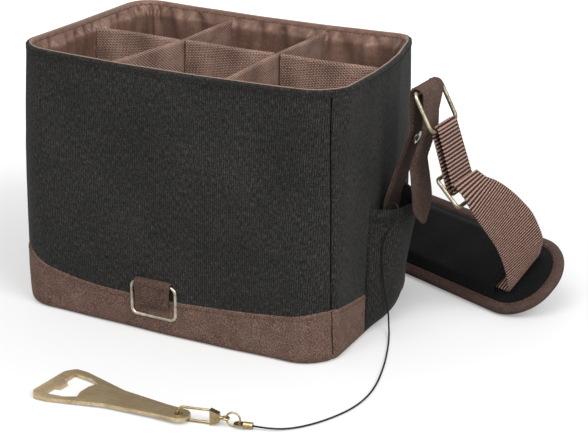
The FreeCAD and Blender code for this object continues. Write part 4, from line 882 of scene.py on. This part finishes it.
# %% lining
LINING_FLOOR, LINING_START = 6.4, 2.9
LINING_ROWS, FLOOR_ROWS = 90, 12
STRIP_PROFILE = ((-0.5, 1.9), (0.0, 2.3), (-0.2, 2.9), (-0.7, 3.4), (-1.4, 3.8), (-2.2, 4.1), (-2.9, 4.3),
                 (-3.4, 4.4), (-3.6, 5.0))
TIGHT_SIZE, TIGHT_FADE = 1.6, 26.0
LOOSE_SIZE, LOOSE_START, LOOSE_FADE = 2.6, 10.0, 110.0
turn = 2 * math.pi * np.arange(AROUND) / AROUND
pucker = 0.35 * np.sin(97 * turn + 2 * np.sin(6 * turn))
strip_rows = [wall_ring(rim_z + drop, inset + pucker * min(1.0, -drop / 3))[0] for drop, inset in STRIP_PROFILE]
grid_piece("lining_rim_strip", strip_rows, satin, "bag", wrap=True)
strip_line, strip_out = wall_ring(rim_z - 2.7, 4.45)
stitches("lining_stitches", [(loop_close(strip_line), loop_close(-strip_out))], brown_thread, "bag")
lining_rows = []
for share in np.linspace(0, 1, LINING_ROWS) ** 1.25:
    z = (rim_z - LINING_START) * (1 - share) + LINING_FLOOR * share
    depth = (rim_z - LINING_START) - z
    tight = (np.sin(58 * turn + 2.0 * np.sin(7 * turn) + 0.05 * depth)
             + 0.7 * np.sin(83 * turn + 3.0 * np.sin(5 * turn) + 1.0 - 0.04 * depth))
    loose = (np.sin(19 * turn + 1.6 * np.sin(4 * turn) + 0.05 * depth)
             + 0.7 * np.sin(31 * turn + 2.2 * np.sin(3 * turn) - 0.07 * depth + 2.0))
    fold = TIGHT_SIZE * tight * np.exp(-depth / TIGHT_FADE)
    fold += LOOSE_SIZE * loose * (1 - np.exp(-depth / LOOSE_START)) * np.exp(-depth / LOOSE_FADE)
    fold *= np.clip(depth / 5.0, 0, 1) * np.clip((z - LINING_FLOOR) / 20, 0, 1)
    hang = 4.8 + 3.6 * np.clip(depth / 7.0, 0, 1)
    lining_rows.append(wall_ring(z, hang + fold)[0])
floor_ring = wall_ring(LINING_FLOOR, 6.4)[0]
lining_rows += [floor_ring * (share, share, 1) for share in np.linspace(0.93, 0.02, FLOOR_ROWS)]
lining = grid_piece("satin_lining", lining_rows, satin, "bag", wrap=True)
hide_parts("lining")
print("lining", len(lining_rows), "rows")

# %% [markdown]
# ## Dividers
# Two boards run across the bag and three short ones stand between them: padded, covered in woven
# cloth, with a stitched top edge. They lean a little, as sewn dividers do when nothing stands
# between them. A box with a bevel would look stiff; a closed section swept along each board can
# swell, lean and wave.

# %% dividers
CROSS_X, CROSS_FRONT, CROSS_BACK, JOIN = 39.4, -76.2, 70.5, 2.6
DIVIDER_TOP, DIVIDER_FOOT, DIVIDER_THICK = 185.5, 7.0, 5.0
DIVIDER_TALL = DIVIDER_TOP - DIVIDER_FOOT
LEAN_X, LEAN_Y, LEAN_POWER, SKEW_RUN, WAVE_HIGH = -1.5, 9.0, 1.6, 0.55, 0.8
SIDE_ROWS, TOP_ROWS, BOARD_ROWS, EDGE_ROWS, EDGE_UP = 40, 9, 44, 40, 0.962


def board_middle(start, stop, along, lift, puffs, skew):
    """Middle of a board in plan at shares along and up it; skew leans the first half's top."""
    side = board_side(start, stop)
    lean = np.array([LEAN_X + skew * max(0.0, 1 - along / SKEW_RUN), LEAN_Y]) * lift ** LEAN_POWER
    return start * (1 - along) + stop * along + lean + side * WAVE_HIGH * math.sin(6 * along + puffs) * lift


def board_side(start, stop):
    way = unit(stop - start)
    return np.array([way[1], -way[0]])


def board_section():
    """Closed section as shares of the thickness and the height: up one face, over the top, down."""
    up = [(1.0, share) for share in np.linspace(0, 1, SIDE_ROWS)]
    over = []
    for angle in np.radians(np.linspace(15, 165, TOP_ROWS)):
        over.append((math.cos(angle), 1.0 + DIVIDER_THICK / 2 / DIVIDER_TALL * math.sin(angle)))
    return up + over + [(-1.0, share) for share in np.linspace(1, 0, SIDE_ROWS)]


def divider_piece(name, node_name, start, stop, puffs, skew):
    """Padded board from start to stop in plan; gives the two stitch runs along its top edge."""
    start, stop = np.array(start, float), np.array(stop, float)
    side = board_side(start, stop)
    rows = []
    for along in np.linspace(0, 1, BOARD_ROWS):
        ring = []
        for out, up in board_section():
            lift = min(up, 1.0)
            puff = 0.28 * math.sin(math.pi * lift) * math.sin(math.pi * along)
            puff += 0.1 * math.sin(9 * along + 5 * lift + puffs)
            edge = 1.0 - 0.35 * math.exp(-((lift - 0.965) / 0.012) ** 2)
            half = DIVIDER_THICK / 2 * (edge * 0.8 + puff) * out
            plan = board_middle(start, stop, along, lift, puffs, skew) + side * half
            ring.append((plan[0], plan[1], DIVIDER_FOOT + DIVIDER_TALL * up))
        rows.append(ring)
    made = grid_piece(name, rows, divider_cloth, "bag", wrap=True, turned=True)
    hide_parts(node_name)
    runs = []
    for face in (1, -1):
        spots = []
        for along in np.linspace(0.02, 0.98, EDGE_ROWS):
            plan = board_middle(start, stop, along, EDGE_UP, puffs, skew) + side * face * DIVIDER_THICK / 2 * 0.55
            spots.append((plan[0], plan[1], DIVIDER_FOOT + DIVIDER_TALL * EDGE_UP))
        runs.append((np.array(spots), np.repeat([[side[0] * face, side[1] * face, 0]], EDGE_ROWS, axis=0)))
    return runs


# Piece, solid, start and stop in plan, start of its swell, and lean of its first half
BOARDS = [
    ("left_cross_board", "left_cross_divider", (-CROSS_X, CROSS_FRONT), (-CROSS_X, CROSS_BACK), 0.3, -13.0),
    ("right_cross_board", "right_cross_divider", (CROSS_X, CROSS_FRONT), (CROSS_X, CROSS_BACK), 1.9, 0.0),
    ("left_long_board", "left_long_divider", (-114.5, 0), (-CROSS_X - JOIN, 0), 2.4, 0.0),
    ("middle_long_board", "middle_long_divider", (-CROSS_X + JOIN, 0), (CROSS_X - JOIN, 0), 4.0, 0.0),
    ("right_long_board", "right_long_divider", (CROSS_X + JOIN, 0), (118.5, 0), 5.2, 0.0),
]
divider_runs = []
for board in BOARDS:
    divider_runs += divider_piece(*board)
stitches("divider_stitches", divider_runs, brown_thread, "bag", 3.2, 2.2, 0.6)

# %% [markdown]
# ## The opener pocket
# A pouch of the same canvas on the right wall, bellied at its mouth, holds the end of the cord. It
# could be cut from a cylinder; a bow whose rise grows from foot to mouth follows the cloth better,
# and it moves with the wall where that is drawn in. The mouth has a stitched hem.

# %% pocket
POCKET_MID, POCKET_HALF, POCKET_FOOT, POCKET_MOUTH = 12.0, 33.8, 3.0, 95.0
POCKET_X, POCKET_TURN, POCKET_THICK = 125.6, 22.0, 1.1
FOOT_BULGE, MOUTH_BULGE, MOUTH_SAG = 9.0, 21.8, 1.2
BOW_COUNT, POUCH_ROWS, SIDE_STITCH_ROWS, MOUTH_STITCH = 49, 44, 40, 87.6
MOUTH_PROFILE = ((-9.0, -0.05), (-8.6, -0.5), (-4.0, -0.6), (-1.0, -0.5), (0.0, 0.2), (0.0, 1.2), (-1.0, 1.8),
                 (-9.0, 1.9))


def pocket_bow(z, inset=0.0):
    """Bowed front of the pouch at one height, from its front edge to its back edge."""
    share = (z - POCKET_FOOT) / (POCKET_MOUTH - POCKET_FOOT)
    rise = FOOT_BULGE + (MOUTH_BULGE - FOOT_BULGE) * share
    low = np.clip((z - POCKET_FOOT) / POCKET_TURN, 0, 1)
    rise = max(rise * math.sqrt(1 - (1 - low) ** 2), 0.8)
    radius = (POCKET_HALF ** 2 + rise ** 2) / (2 * rise)
    half_angle = math.asin(min(1.0, POCKET_HALF / radius))
    angles = np.linspace(-half_angle, half_angle, BOW_COUNT)
    reach = radius - inset + 0.6 * np.sin(7 * angles + 0.06 * z) * share
    y = POCKET_MID + reach * np.sin(angles)
    level = np.full(BOW_COUNT, float(z))
    drawn_in = np.minimum(sway(np.full(BOW_COUNT, POCKET_X), y, level)[0], 0.0)
    return np.stack([POCKET_X + drawn_in + reach * np.cos(angles) - (radius - rise), y, level], axis=1)


def mouth_bow(z, inset):
    """The same bow with the sag of the mouth."""
    row = pocket_bow(z, inset)
    row[:, 2] -= MOUTH_SAG * np.sin(np.linspace(0, math.pi, BOW_COUNT))
    return row


pocket_rows = [pocket_bow(z) for z in np.linspace(POCKET_FOOT + 0.3, POCKET_MOUTH - 1.0, POUCH_ROWS)]
pouch = grid_piece("canvas_pouch", pocket_rows, canvas, "bag")
thicken(pouch, POCKET_THICK)
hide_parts("opener_pocket")
mouth_rows = [mouth_bow(POCKET_MOUTH + drop, inset) for drop, inset in MOUTH_PROFILE]
grid_piece("pouch_hem", mouth_rows, canvas, "bag")
mouth_line = mouth_bow(MOUTH_STITCH, -0.75)
mouth_out = mouth_line - np.array([POCKET_X - 12, POCKET_MID, MOUTH_STITCH])
mouth_out[:, 2] = 0
pouch_runs = [(mouth_line, unit(mouth_out))]
for index in (1, -2):
    spots = np.array([pocket_bow(z)[index] for z in np.linspace(8, 84, SIDE_STITCH_ROWS)])
    pouch_runs.append((spots + (0.4, 0, 0), np.repeat([[1.0, 0, 0]], SIDE_STITCH_ROWS, axis=0)))
stitches("pouch_stitches", pouch_runs, dark_thread, "bag")

# %% [markdown]
# ## Lines for strips
# Tabs, loops and webbing are flat strips that bend along a line. A curve with a flat bevel would
# twist as it liked; here each point of the line carries the direction of the strip's width. A line
# may run smoothly through stations, or be straight with round bends where the strip is folded.


# %% strip lines
def smooth_line(stations, step):
    """Curve through stations with its width directions, resampled at an even step."""
    points = np.array([s[0] for s in stations], float)
    sides = np.array([s[1] for s in stations], float)
    chord = np.concatenate([[0], np.cumsum(np.linalg.norm(np.diff(points, axis=0), axis=1) ** 0.5)])
    slopes = np.zeros_like(points)
    slopes[1:-1] = (points[2:] - points[:-2]) / (chord[2:] - chord[:-2])[:, None]
    slopes[0] = (points[1] - points[0]) / (chord[1] - chord[0])
    slopes[-1] = (points[-1] - points[-2]) / (chord[-1] - chord[-2])
    fine, turn = [], []
    for k in range(len(points) - 1):
        gap = chord[k + 1] - chord[k]
        for t in np.linspace(0, 1, 40, endpoint=k == len(points) - 2):
            a, b = 2 * t ** 3 - 3 * t ** 2 + 1, t ** 3 - 2 * t ** 2 + t
            c, d = -2 * t ** 3 + 3 * t ** 2, t ** 3 - t ** 2
            fine.append(a * points[k] + b * gap * slopes[k] + c * points[k + 1] + d * gap * slopes[k + 1])
            turn.append(sides[k] * (1 - t) + sides[k + 1] * t)
    return even_line(np.array(fine), np.array(turn), step)


def even_line(fine, turn, step):
    place = run_length(fine)
    count = max(int(place[-1] / step), 8)
    at = np.linspace(0, place[-1], count + 1)
    line = np.stack([np.interp(at, place, fine[:, a]) for a in range(3)], axis=1)
    side = np.stack([np.interp(at, place, turn[:, a]) for a in range(3)], axis=1)
    return line, side


LEVEL = [0, 1.0, 0]


def bent_line(corners, radii, step):
    """Straight runs joined by round bends, for a strip that is folded rather than draped."""
    corners = [np.array(c, float) for c in corners]
    fine = [corners[0]]
    for k in range(1, len(corners) - 1):
        back, ahead = unit(corners[k - 1] - corners[k]), unit(corners[k + 1] - corners[k])
        half = math.acos(np.clip(back @ ahead, -1, 1)) / 2
        reach = radii[k - 1] / math.tan(half)
        centre = corners[k] + unit(back + ahead) * radii[k - 1] / math.sin(half)
        first, last = corners[k] + back * reach - centre, corners[k] + ahead * reach - centre
        swing = math.acos(np.clip(unit(first) @ unit(last), -1, 1))
        for t in np.linspace(0, 1, 16):
            slide = math.sin((1 - t) * swing) * first + math.sin(t * swing) * last
            fine.append(centre + slide / math.sin(swing))
    fine.append(corners[-1])
    fine = np.array(fine)
    return even_line(fine, np.repeat([LEVEL], len(fine), axis=0), step)


print("strip lines ready")

# %% [markdown]
# ## Strips
# A strip is a flat section swept along its line. Suede strips have plain soft edges. Webbing has
# ribs across its length, so its section swells and falls at each rib: a bump alone would leave
# the edge of the strap smooth.

# %% strip
ACROSS_COUNT, RIB_HIGH, EDGE_STITCH, SHARP_DEG = 13, 0.22, 2.6, 50


def strip(name, line, side, width, thick, finish, body, rib=None, closed=False, square=True):
    """Closed section swept along the line; width may be a number or one value for each point.

    With square off, the ribs keep the given direction where the strip turns in its own plane.
    """
    count = len(line)
    width = np.broadcast_to(np.asarray(width, float), (count,))
    way = unit(np.gradient(line, axis=0))
    if closed:
        way[0] = way[-1] = unit(line[1] - line[-2])
    side = unit(side - way * np.sum(side * way, axis=1, keepdims=True)) if square else unit(side)
    up = unit(np.cross(way, side))
    across = np.concatenate([np.linspace(-1, 1, ACROSS_COUNT), np.linspace(1, -1, ACROSS_COUNT)])
    face = np.repeat([1.0, -1.0], ACROSS_COUNT)
    edge = np.where(np.abs(across) > 0.999, 0.45, 1.0)
    place = run_length(line)
    swell = np.zeros(count) if rib is None else RIB_HIGH * np.sin(2 * math.pi * place / rib)
    half = width / 2
    rows = (line[:, None, :] + side[:, None, :] * (half[:, None] * across[None])[..., None]
            + up[:, None, :] * ((thick / 2 * edge * face)[None] + swell[:, None] * face[None])[..., None])
    made_rows = rows[:-1] if closed else rows
    columns = rows.shape[1]
    flat = [tuple(p * MM) for p in made_rows.reshape(-1, 3)]
    faces, uvs = [], []
    total = len(made_rows)
    last = total if closed else total - 1
    v = (across + 1) / 2 * float(width.mean()) * MM
    for r in range(last):
        n = (r + 1) % total
        for c in range(columns):
            d = (c + 1) % columns
            faces.append((r * columns + c, r * columns + d, n * columns + d, n * columns + c))
            here, there = place[r] * MM, place[r + 1] * MM
            uvs += [(here, v[c]), (here, v[d]), (there, v[d]), (there, v[c])]
    if not closed:
        faces.append(tuple(reversed(range(columns))))
        uvs += [(0, v[c]) for c in reversed(range(columns))]
        faces.append(tuple((total - 1) * columns + c for c in range(columns)))
        uvs += [(place[-1] * MM, v[c]) for c in range(columns)]
    made = finish_piece(name, uv_mesh(name, flat, faces, uvs), finish, body, SHARP_DEG)
    edges = [line + side * (s * (half - EDGE_STITCH))[:, None] for s in (-1, 1)]
    print(name, "length", round(float(place[-1]), 1), "mm")
    return made, edges, up


# %% [markdown]
# ## Side tabs
# A suede tab on each end wall is sewn to the wall, runs over the ring's bar and hangs down to a
# pointed end, held by a press-stud. It could be modelled flat and bent; a folded line with a width
# that changes along it gives the waist and the point at once.

# %% side tabs
WALL_X = 125.0
TAB_THICK, TAB_SIDE, TAB_MID, TAB_BEND, TAB_STEP, TAB_POINT = 1.8, 4.0, 5.1, 14.0, 1.6, 13.0
# Width and sideways shift against the depth below the fold, on the hanging flap and on the leg
FLAP_WIDTH = [0, 6, 18, 40, 70, 95], [33.0, 31.0, 25.0, 25.0, 29.0, 31.0]
LEG_WIDTH = [0, 6, 20, 40, 90], [33.0, 32.0, 30.0, 30.0, 27.0]
FLAP_SHIFT = [0, 6, 18, 40, 80], [-1.0, -1.5, -4.0, -4.0, 0.0]
LEG_SHIFT = [0, 40, 90], [-1.0, 0.0, 4.5]
TAB_STITCHED = slice(6, -14)


def side_tab(name, node_name, sign, skin, stand, fold, waist, tip, level):
    """Suede strip from the wall, over the ring's bar and down to a pointed end."""
    top, elbow = level + TAB_MID, level - 26
    raw = [(skin, 68), (skin, 78), (stand, 98), (fold - TAB_MID, elbow), (fold - TAB_MID, top),
           (fold + TAB_MID, top), (fold + TAB_MID, elbow), (waist, 128), (tip, 83)]
    corners = [(sign * (WALL_X + x), TAB_SIDE, z) for x, z in raw]
    line, side = bent_line(corners, [TAB_BEND] * 3 + [TAB_MID] * 2 + [TAB_BEND] * 2, TAB_STEP)
    place = run_length(line)
    left = place[-1] - place
    outer = place > place[np.argmax(line[:, 2])]
    below = top - line[:, 2]
    point = np.clip(0.1 + 0.9 * (left / TAB_POINT) ** 0.8, 0.1, 1.0)
    width = np.where(outer, np.interp(below, *FLAP_WIDTH) * point, np.interp(below, *LEG_WIDTH))
    line[:, 1] += np.where(outer, np.interp(below, *FLAP_SHIFT), np.interp(below, *LEG_SHIFT))
    made, edges, up = strip(name, line, side, width, TAB_THICK, tab_suede, "bag")
    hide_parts(node_name)
    runs = []
    for edge in edges:
        for face in (1, -1):
            lift = edge + up * (TAB_THICK / 2 * face)
            runs.append((lift[TAB_STITCHED], up[TAB_STITCHED] * face))
    stitches(name + "_stitches", runs, brown_thread, "bag", 3.4, 2.4, 0.65)


side_tab("right_suede_tab", "right_tab", 1, 2.7, 6.0, 32.0, 28.0, 32.0, 179.0)
side_tab("left_suede_tab", "left_tab", -1, 1.2, 7.0, 22.0, 22.0, 24.5, 171.0)

# %% [markdown]
# ## Front tab
# A short suede tab holds the front ring: one strip doubled over the ring's bar and stitched down
# below it with two rows. It is the same folded strip as the side tabs, only shorter.

# %% front tab
FRONT_X, FRONT_BAR_Y, FRONT_REACH, FRONT_FOOT, FRONT_FOLD = -7.5, -89.92, 2.5, 22, 40.2
FRONT_BEND, FRONT_THICK, FRONT_WIDTH, FRONT_FLARE = 2.45, 1.6, 27.0, 2.6
BAR_STITCH_Z, BAR_STITCH_HALF, BAR_STITCH_ROWS, BAR_STITCH_GAP = 29.0, 12, 20, 4
front_corners = [(FRONT_X, FRONT_BAR_Y + reach, z)
                 for reach, z in ((FRONT_REACH, FRONT_FOOT), (FRONT_REACH, FRONT_FOLD),
                                  (-FRONT_REACH, FRONT_FOLD), (-FRONT_REACH, FRONT_FOOT))]
front_line, _ = bent_line(front_corners, [FRONT_BEND, FRONT_BEND], 0.9)
front_side = np.repeat([[1.0, 0, 0]], len(front_line), axis=0)
front_width = FRONT_WIDTH + FRONT_FLARE * np.clip((front_line[:, 2] - FRONT_FOOT) / 15, 0, 1)
front_tab, _, _ = strip("front_suede_tab", front_line, front_side, front_width, FRONT_THICK, tab_suede,
                        "bag")
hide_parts("front_tab")
bar_x = np.linspace(FRONT_X - BAR_STITCH_HALF, FRONT_X + BAR_STITCH_HALF, BAR_STITCH_ROWS)
bar_line = np.stack([bar_x, np.full(BAR_STITCH_ROWS, FRONT_BAR_Y - FRONT_REACH - 0.85),
                     np.full(BAR_STITCH_ROWS, BAR_STITCH_Z)], axis=1)
bar_out = np.repeat([[0, -1.0, 0]], BAR_STITCH_ROWS, axis=0)
stitches("front_tab_stitches", [(bar_line, bar_out), (bar_line - (0, 0, BAR_STITCH_GAP), bar_out)],
         brown_thread, "bag", 3.2, 2.2, 0.6)

# %% [markdown]
# ## Strap loops
# A short belt of webbing hangs from each side ring and carries the strap: on the right it holds
# the slider, on the left it ends where the webbing is sewn on. It is a closed strip round two
# half circles.

# %% strap loops
LOOP_RADIUS, LOOP_WIDTH, LOOP_FLARE, WEB_THICK, WEB_STEP = 2.55, 30.0, 3.0, 1.3, 0.35


def strap_loop(name, node_name, start, slope_deg, length, sign):
    """Belt of webbing round the ring's lower bar."""
    slope = math.radians(slope_deg)
    way = np.array([sign * math.cos(slope), 0, -math.sin(slope)])
    out = np.array([sign * math.sin(slope), 0, math.cos(slope)])
    start = np.array(start)
    stop = start + way * length
    fine = []
    for centre, first, last in ((start, 90, 270), (stop, -90, 90)):
        for a in np.radians(np.linspace(first, last, 24)):
            fine.append(centre + LOOP_RADIUS * (way * math.cos(a) + out * math.sin(a)))
    fine = np.array(fine + fine[:1])
    line, side = even_line(fine, np.repeat([LEVEL], len(fine), axis=0), WEB_STEP)
    width = LOOP_WIDTH + LOOP_FLARE * np.clip((line - start) @ way / length, 0, 1)
    made, _, _ = strip(name, line, side, width, WEB_THICK, webbing, None, rib=RIB, closed=True)
    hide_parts(node_name)
    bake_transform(made)


strap_loop("right_strap_loop", "strap_loop", (170.61, 4.0, 155.79), 72, 42.5, 1)
strap_loop("left_strap_loop", "left_loop", (-157.39, 4.0, 146.33), 88, 28.0, -1)

# %% [markdown]
# ## Webbing
# The two runs of the strap leave the slider and the left loop, fall to the floor and enter the
# pad's sleeve. Each is a strip through stations, and a station gives a place and the direction of
# the width, so that the twist of the right run is given.

# %% webbing
WEB_WIDTH = 37.0
RIGHT_WEB = [
    ((187.2, 4.0, 121.7), (0.00, 1.00, 0.00)), ((194.2, 5.0, 115.4), (0.00, 0.99, 0.11)),
    ((198.9, 9.5, 108.6), (0.05, 0.93, 0.34)), ((202.0, 18.5, 100.0), (0.15, 0.87, 0.47)),
    ((204.8, 32.5, 87.2), (0.27, 0.78, 0.56)), ((207.5, 49.3, 70.3), (0.42, 0.68, 0.60)),
    ((208.4, 65.9, 47.8), (0.48, 0.65, 0.58)), ((206.2, 73.4, 34.9), (0.36, 0.72, 0.60)),
    ((204.2, 78.4, 29.1), (0.31, 0.74, 0.60)), ((201.6, 80.9, 27.4), (0.31, 0.74, 0.60)),
    ((198.1, 82.5, 27.2), (0.31, 0.74, 0.60)), ((189.2, 86.2, 27.2), (0.31, 0.74, 0.60)),
    ((184.8, 88.0, 27.2), (0.31, 0.74, 0.60)),
]
LEFT_WEB = [
    ((32.7, 151.0, 27.2), (0.31, 0.74, 0.60)), ((22.7, 155.2, 27.2), (0.31, 0.74, 0.60)),
    ((5.1, 162.4, 27.2), (0.31, 0.74, 0.60)), ((-6.3, 167.1, 27.2), (0.31, 0.74, 0.60)),
    ((-32.1, 176.1, 27.2), (0.25, 0.75, 0.60)), ((-64.1, 176.9, 27.2), (0.00, 0.78, 0.62)),
    ((-97.5, 163.9, 29.0), (-0.20, 0.68, 0.70)), ((-127.9, 139.4, 34.2), (-0.30, 0.60, 0.74)),
    ((-150.8, 105.2, 46.5), (-0.20, 0.55, 0.80)), ((-161.4, 66.0, 64.0), (0.00, 0.55, 0.83)),
    ((-162.9, 28.5, 81.5), (0.00, 0.65, 0.75)), ((-159.9, 8.9, 99.1), (0.00, 0.83, 0.55)),
    ((-158.4, 4.0, 108.7), (0.00, 0.97, 0.20)), ((-158.4, 4.0, 114.8), (0.00, 1.00, 0.00)),
]


def strap_webbing(name, node_name, stations, square):
    line, side = smooth_line(stations, WEB_STEP)
    made, _, _ = strip(name, line, side, WEB_WIDTH, WEB_THICK, webbing, None, rib=RIB, square=square)
    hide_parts(node_name)
    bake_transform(made)


strap_webbing("right_strap_webbing", "right_webbing", RIGHT_WEB, False)
strap_webbing("left_strap_webbing", "left_webbing", LEFT_WEB, True)

# %% [markdown]
# ## Cord anchor
# Inside the pocket the cord is held by a small tape on the wall. It is hidden, so it is one plain
# straight strip.

# %% cord anchor
ANCHOR_ROWS, ANCHOR_WIDTH, ANCHOR_THICK = 16, 12.0, 1.4
anchor_line = np.array([(127.3, -8.0, z) for z in np.linspace(46, 60, ANCHOR_ROWS)])
anchor, _, _ = strip("cord_anchor_tape", anchor_line, np.repeat([LEVEL], ANCHOR_ROWS, axis=0), ANCHOR_WIDTH,
                     ANCHOR_THICK, webbing, "bag")
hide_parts("cord_anchor")

# %% [markdown]
# ## The shoulder pad
# A long padded oval that stands on its lower edge and leans back. It could be modelled in place,
# at a slant; it is easier to build flat in its own frame, as rings at an inset from the outline
# and a height over the middle plane. The body is crowned on both faces.

# %% pad body
PAD_AT = np.array((113.2, 121.6, 22.32))
PAD_U = np.array((0.92388, -0.38268, 0.0))
PAD_V = np.array((0.30722, 0.74171, 0.59622))
PAD_N = np.array((-0.22817, -0.55084, 0.80282))
PAD_LONG, PAD_WIDE, PAD_END = 250.0, 70.0, 33.0
PAD_COUNTS = (90, 16, 26)
CROWN = [(5.0, 2.0), (6.5, 2.3), (8.5, 3.0), (12.0, 3.9), (16.0, 4.5), (21.0, 4.85), (26.0, 5.0), (31.0, 5.0),
         (33.8, 5.0)]


def pad_place(a, b, h):
    a, b, h = np.broadcast_arrays(a, b, h)
    return PAD_AT + a[..., None] * PAD_U + b[..., None] * PAD_V + h[..., None] * PAD_N


def pad_ring(inset, h):
    """Ring of points at an inset from the pad's outline and a height over its middle plane."""
    radius = max(PAD_END - inset, 1.2)
    spots, _ = plan_outline(PAD_LONG - 2 * inset, PAD_WIDE - 2 * inset, radius, PAD_COUNTS)
    return pad_place(spots[:, 0], spots[:, 1], h)


pad_rows = [pad_ring(inset, h) for inset, h in reversed(CROWN)]
pad_rows += [pad_ring(inset, -h) for inset, h in CROWN]
pad_body = grid_piece("padded_strap_body", pad_rows, pad_canvas, "shoulder_strap", wrap=True, turned=True)
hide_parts("pad_body")
print("pad", PAD_LONG, "by", PAD_WIDE, "mm")

# %% [markdown]
# ## Pad binding
# A suede tape is folded round the pad's edge and sewn through both faces, so it puckers a little
# at each stitch. A bevel on the body couldn't change cloth at the edge, so it is a piece of its own.

# %% pad binding
BINDING = [(7.6, 2.55), (7.5, 3.0), (6.4, 3.3), (4.0, 3.35), (2.0, 3.0), (0.7, 2.1), (0.1, 0.9), (0.1, -0.9),
           (0.7, -2.1), (2.0, -3.0), (4.0, -3.35), (6.4, -3.3), (7.5, -3.0), (7.6, -2.55)]
PUCKER_HIGH, PUCKER_COUNT, BIND_STITCH, BIND_STITCH_HIGH = 0.12, 90, 5.9, 3.42
bind_rows = []
for inset, h in BINDING:
    spots = pad_ring(inset, h)
    puckers = PUCKER_HIGH * np.sin(2 * math.pi * PUCKER_COUNT * np.arange(len(spots)) / len(spots))
    bind_rows.append(spots + PAD_N * (puckers * np.sign(h) * (inset > 1))[:, None])
binding = grid_piece("pad_edge_binding", bind_rows, binding_suede, "shoulder_strap", wrap=True,
                     turned=True)
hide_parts("pad_binding")
bind_runs = []
for face in (1, -1):
    bind_line = loop_close(pad_ring(BIND_STITCH, face * BIND_STITCH_HIGH))
    bind_runs.append((bind_line, np.repeat([face * PAD_N], len(bind_line), axis=0)))
stitches("binding_stitches", bind_runs, brown_thread, "shoulder_strap", 3.4, 2.4, 0.6)

# %% [markdown]
# ## Pad sleeve
# A canvas sleeve lies over the pad's face and the webbing runs into it at both ends, so its middle
# stands up and its sides slope down to the pad. It is a grid over the pad's own frame with a soft
# ripple, and two rows of stitches at each end.

# %% pad sleeve
SLEEVE_INSET, SLEEVE_SIDE, SLEEVE_SLOPE, SLEEVE_LOW, SLEEVE_HIGH = 38.0, 27.4, 8.0, 3.3, 4.6
SLEEVE_THICK, SLEEVE_STITCH_ROWS = 1.0, 40


def sleeve_over(b):
    return np.clip((SLEEVE_SIDE - np.abs(b)) / SLEEVE_SLOPE, 0, 1)


def sleeve_rise(b):
    over = sleeve_over(b)
    return SLEEVE_LOW + SLEEVE_HIGH * (over * over * (3 - 2 * over))


sleeve_end = PAD_LONG / 2 - SLEEVE_INSET
sleeve_a = np.linspace(-sleeve_end, sleeve_end, 90)
sleeve_rows = []
for b in np.linspace(-SLEEVE_SIDE, SLEEVE_SIDE, 41):
    ripple = 0.35 * np.sin(0.06 * sleeve_a + 0.2 * b) + 0.25 * np.sin(0.15 * sleeve_a - 0.1 * b)
    sleeve_rows.append(pad_place(sleeve_a, b, sleeve_rise(b) + ripple * sleeve_over(b)))
sleeve = grid_piece("pad_canvas_sleeve", sleeve_rows, pad_canvas, "shoulder_strap")
thicken(sleeve, SLEEVE_THICK)
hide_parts("pad_sleeve")
sleeve_runs = []
stitch_b = np.linspace(-SLEEVE_SIDE + 1, SLEEVE_SIDE - 1, SLEEVE_STITCH_ROWS)
for end in (-1, 1):
    for inset in (2.5, 7.5):
        spots = pad_place(end * (sleeve_end - inset), stitch_b, sleeve_rise(stitch_b) + 0.35)
        sleeve_runs.append((spots, np.repeat([PAD_N], SLEEVE_STITCH_ROWS, axis=0)))
stitches("sleeve_stitches", sleeve_runs, dark_thread, "shoulder_strap", 3.2, 2.3, 0.6)
